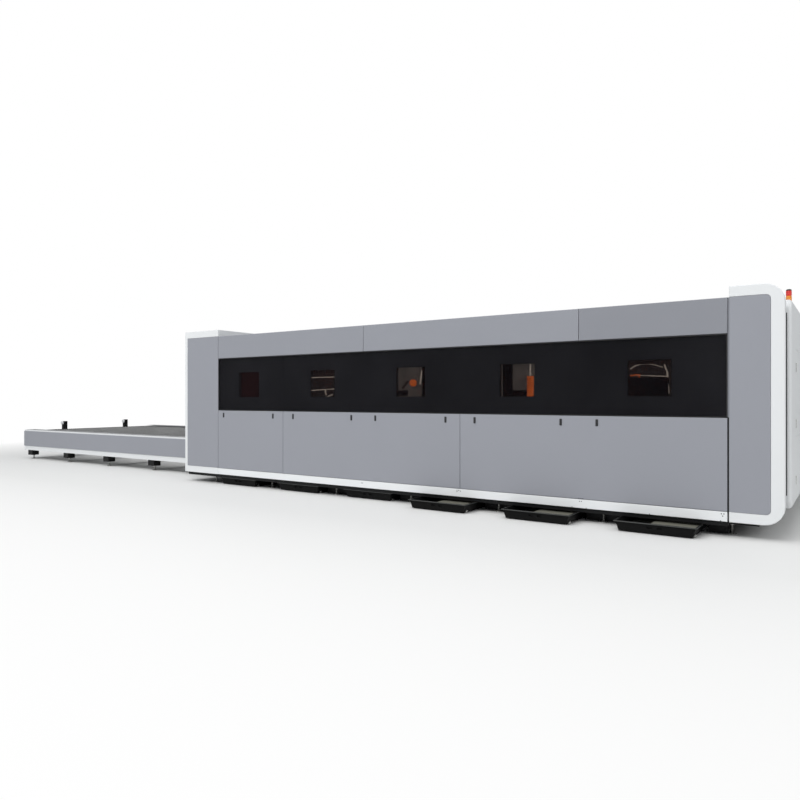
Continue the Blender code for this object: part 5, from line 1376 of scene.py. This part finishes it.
class MACHINE_OT_scrap_trays(bpy.types.Operator):
    """Build the pull-out scrap trays with their rollers, rim lips and floor liners"""

    bl_idname = "machine.scrap_trays"
    bl_label = "Scrap Trays"

    CORNER = 0.045
    LIP = 0.009
    ROLLER_INSET = 0.10
    ROLLER_Z = 0.0205
    # radius and place along the axis of a roller's profile
    ROLLER = ((0.008, -0.0175), (0.0195, -0.0165), (0.0205, -0.0145), (0.0205, 0.0145), (0.0195, 0.0165),
              (0.008, 0.0175))
    LINER_INSET = 0.04
    FLOOR = 0.026
    UNDERSIDE = 0.0222
    LOWEST = 0.008
    SLOT_SHADE = (0.030, 0.100)        # heights of the black plates behind the grip slots, painted shade that keeps the slots dark
    SLOT_SHADE_HALF = 0.12
    LIT_PATCH_FROM = 0.42           # the loose dusty sheet covers the rest of the tray's width, the part where light falls: painted light
    LIT_PATCH_HEIGHT = 0.088

    def pan(self, bm):
        """The pan alone, a little deeper. Turned rollers take the place of the solid's plain feet."""
        cut_off(bm, self.UNDERSIDE, True)
        for vert in bm.verts:
            if vert.co.z < self.UNDERSIDE + TOUCH:
                vert.co.z = self.LOWEST

    def execute(self, context):
        for count in range(1, 7):
            node, body = f"scrap_tray_{count}", f"tray_{count}"
            low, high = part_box(node)
            softened(node, f"tray_pan_{count}", paint("tray_paint"), body, 0.0015,
                     change=self.pan)
            bm = bmesh.new()
            for x in (low.x + self.CORNER, high.x - self.CORNER):
                profile = placed(self.ROLLER, x)
                for y in (low.y + self.ROLLER_INSET, high.y - self.ROLLER_INSET):
                    add_turned(bm, profile, (y, self.ROLLER_Z), "X", 24)
            make_piece(bm, f"tray_rollers_{count}", bare("zinc_plated_steel"), body)
            bm = bmesh.new()
            # A lighter lip along the tray's rim.
            outer = rectangle(low.x, high.x, low.y, high.y, -0.0006)
            inner = rectangle(low.x, high.x, low.y, high.y, 0.0015)
            add_tube(bm, outer, inner, "Z", high.z - self.LIP, high.z - TOUCH)
            make_piece(bm, f"tray_lip_{count}", paint("lighter_tray_rim"), body, (), 0.0006)
            edge = self.CORNER + 0.008
            box_piece((low.x + edge, low.y + self.LINER_INSET, self.FLOOR + TOUCH),
                      (high.x - edge, high.y - self.LINER_INSET, self.FLOOR + 0.0015),
                      f"tray_liner_{count}", paint("dusty_tray_floor"), body)
            # A dusty sheet over the right part of each tray, raised near the rim: dust colour, laid only
            # where light falls, as a painted pool of light.
            box_piece((low.x + (high.x - low.x) * self.LIT_PATCH_FROM, low.y + 0.09, self.LIT_PATCH_HEIGHT),
                      (high.x - 0.032, high.y - 0.06, self.LIT_PATCH_HEIGHT + 0.0015),
                      f"tray_lit_patch_{count}", paint("dusty_sheet_painted_light"), body, (), 0.0005)
            # Black plates behind the grip slots: painted shade, so the slots stay dark.
            middle = (low.x + high.x) / 2
            box_piece((middle - self.SLOT_SHADE_HALF, low.y + 0.036, self.SLOT_SHADE[0]),
                      (middle + self.SLOT_SHADE_HALF, low.y + 0.040, self.SLOT_SHADE[1]),
                      f"tray_slot_shade_{count}", paint("tray_paint"), body, (), 0.001)
        return {"FINISHED"}


class MACHINE_OT_gantry(bpy.types.Operator):
    """Build the gantry beam, its motors, the head carriage and the cutting head"""

    bl_idname = "machine.gantry"
    bl_label = "Gantry and Head"

    def motor(self, name):
        low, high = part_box(name)
        middle = ((low.x + high.x) / 2, (low.y + high.y) / 2)
        radius = (high.x - low.x) / 2
        body = low.z + 0.1683
        bm = bmesh.new()
        profile = [(0.0295, low.z), (0.0295, low.z + 0.028), (0.0195, low.z + 0.028), (0.0195, body),
                   (radius, body), (radius, body + 0.07), (radius * 0.85, body + 0.07)]
        fins = 12
        for fin in range(fins):
            z = body + 0.076 + 0.2 * fin / fins
            profile += [(radius * 0.85, z), (radius * 0.85, z + 0.008), (radius * 0.78, z + 0.0085),
                        (radius * 0.78, z + 0.0160)]
        profile += [(radius * 0.85, high.z - 0.02), (radius * 0.85, high.z - 0.006), (radius * 0.7, high.z)]
        add_turned(bm, profile, middle, "Z", 32)
        make_piece(bm, name + "_turned", black_paint(), "gantry", [name])

    def execute(self, context):
        alloy = bare("milled_alloy")
        softened("gantry_beam", "gantry_casting", alloy, "gantry", 0.004)
        self.motor("front_drive_motor")
        self.motor("rear_drive_motor")
        softened("head_carriage", "carriage_plate", alloy, "carriage")
        softened("cutting_head", "cutting_head_body", alloy, "head", 0.002)
        return {"FINISHED"}


class MACHINE_OT_stage(bpy.types.Operator):
    """Set the camera, the soft lamps, the even sky and the plain floor"""

    bl_idname = "machine.stage"
    bl_label = "Stage"

    FLOOR_REACH = 90.0
    FADE_START = 1.0
    FADE_END = 6.0

    def lamp(self, name, place, aim, size, power):
        data = bpy.data.lights.new(name, "AREA")
        data.shape = "RECTANGLE"
        data.size, data.size_y = size
        data.energy = power
        lamp = bpy.data.objects.new(name, data)
        lamp.location = place
        lamp.rotation_euler = (Vector(aim) - Vector(place)).to_track_quat("-Z", "Y").to_euler()
        bpy.context.scene.collection.objects.link(lamp)

    def floor_material(self, colour):
        """A plain floor with the machine's shadow, which turns into the white backdrop further out."""
        material, tree, shader = new_material("plain_floor")
        shader.inputs["Base Color"].default_value = (*colour, 1.0)
        shader.inputs["Roughness"].default_value = 0.55
        shader.inputs["Specular IOR Level"].default_value = 0.3
        place = add_node(tree, "ShaderNodeSeparateXYZ")
        tree.links.new(add_node(tree, "ShaderNodeTexCoord").outputs["Object"], place.inputs[0])
        squares = []
        for axis, half in (("X", CAD_BOX[1].x), ("Y", CAD_BOX[1].y)):
            past = add_math(tree, "SUBTRACT", add_math(tree, "ABSOLUTE", place.outputs[axis]), half)
            past = add_math(tree, "MAXIMUM", past, 0.0)
            squares.append(add_math(tree, "MULTIPLY", past, past))
        distance = add_math(tree, "SQRT", add_math(tree, "ADD", *squares))
        far = add_range(tree, distance, self.FADE_START, self.FADE_END, 0.0, 1.0)
        rays = add_node(tree, "ShaderNodeLightPath")
        seen = add_math(tree, "MAXIMUM", rays.outputs["Is Camera Ray"], rays.outputs["Is Transmission Ray"])
        white = add_node(tree, "ShaderNodeEmission", {"Color": (1.0, 1.0, 1.0, 1.0), "Strength": 1.0})
        mix = add_node(tree, "ShaderNodeMixShader")
        tree.links.new(add_math(tree, "MULTIPLY", far, seen), mix.inputs[0])
        tree.links.new(shader.outputs[0], mix.inputs[1])
        tree.links.new(white.outputs[0], mix.inputs[2])
        tree.links.new(mix.outputs[0], tree.nodes["Material Output"].inputs["Surface"])
        return material

    def execute(self, context):
        scene = context.scene
        stage = scene.machine_stage
        data = bpy.data.cameras.new("view")
        data.lens = stage.lens
        data.sensor_width = 36.0
        data.shift_y = stage.horizon
        data.clip_end = 300.0
        camera = bpy.data.objects.new("view", data)
        camera.location = stage.camera_place
        camera.rotation_euler = (math.pi / 2, 0.0, stage.camera_turn)
        scene.collection.objects.link(camera)
        scene.camera = camera
        power = stage.lamp_power
        self.lamp("key_lamp", (1.0, -20.0, 19.0), (0.5, -1.0, 0.8), (26.0, 10.0), power)
        self.lamp("side_lamp", (18.0, -3.0, 9.0), (6.0, 0.0, 1.0), (10.0, 8.0), power * 0.085)
        self.lamp("top_lamp", (0.0, -5.0, 14.0), (0.0, -4.0, 0.0), (18.0, 8.0), power * 0.14)
        world = bpy.data.worlds.new("even_sky")
        world.use_nodes = True
        tree = world.node_tree
        tree.nodes.clear()
        rays = add_node(tree, "ShaderNodeLightPath")
        seen = add_math(tree, "MAXIMUM", rays.outputs["Is Camera Ray"], rays.outputs["Is Transmission Ray"])
        light = add_node(tree, "ShaderNodeBackground", {
            "Color": (0.96, 0.98, 1.0, 1.0), "Strength": stage.sky})
        backdrop = add_node(tree, "ShaderNodeBackground", {"Color": (1.0, 1.0, 1.0, 1.0), "Strength": 1.0})
        mix = add_node(tree, "ShaderNodeMixShader")
        end = add_node(tree, "ShaderNodeOutputWorld")
        tree.links.new(seen, mix.inputs[0])
        tree.links.new(light.outputs[0], mix.inputs[1])
        tree.links.new(backdrop.outputs[0], mix.inputs[2])
        tree.links.new(mix.outputs[0], end.inputs["Surface"])
        scene.world = world
        bm = bmesh.new()
        reach = self.FLOOR_REACH
        corners = rectangle(-reach, reach, -reach, reach)
        bm.faces.new([bm.verts.new(point) for point in in_space(corners, "Z", -0.0005)])
        mesh = bpy.data.meshes.new("floor")
        bm.to_mesh(mesh)
        bm.free()
        mesh.materials.append(self.floor_material(stage.floor))
        floor = bpy.data.objects.new("floor", mesh)
        scene.collection.objects.link(floor)
        scene.view_settings.view_transform = "Standard"
        return {"FINISHED"}


PIECES = (
    MACHINE_OT_front_covers, MACHINE_OT_cover_latches, MACHINE_OT_laser_windows, MACHINE_OT_white_shells,
    MACHINE_OT_end_housing, MACHINE_OT_roof_and_rear, MACHINE_OT_bed, MACHINE_OT_exchange_table,
    MACHINE_OT_pallets, MACHINE_OT_exchange_drive, MACHINE_OT_scrap_trays, MACHINE_OT_gantry,
    MACHINE_OT_stage,
)
SETTINGS = (
    ("machine_finish", FinishSettings), ("machine_cover", CoverSettings),
    ("machine_table", TableSettings), ("machine_stage", StageSettings),
)


class MACHINE_PT_build(bpy.types.Panel):
    """Lists what can be built, and its sizes and colours"""

    bl_idname = "MACHINE_PT_build"
    bl_label = "Laser Cutting Machine"
    bl_space_type = "VIEW_3D"
    bl_region_type = "UI"
    bl_category = "Machine"

    def draw(self, context):
        for operator in PIECES:
            self.layout.operator(operator.bl_idname)
        for name, group in SETTINGS:
            box = self.layout.box()
            for key in group.__annotations__:
                box.prop(getattr(context.scene, name), key)


def register():
    for name, group in SETTINGS:
        bpy.utils.register_class(group)
        setattr(bpy.types.Scene, name, bpy.props.PointerProperty(type=group))
    for operator in PIECES:
        bpy.utils.register_class(operator)
    bpy.utils.register_class(MACHINE_PT_build)


def unregister():
    bpy.utils.unregister_class(MACHINE_PT_build)
    for operator in reversed(PIECES):
        bpy.utils.unregister_class(operator)
    for name, group in reversed(SETTINGS):
        delattr(bpy.types.Scene, name)
        bpy.utils.unregister_class(group)


def main():
    register()
    for operator in PIECES:
        family, name = operator.bl_idname.split(".")
        getattr(getattr(bpy.ops, family), name)()


if __name__ == "__main__":
    main()
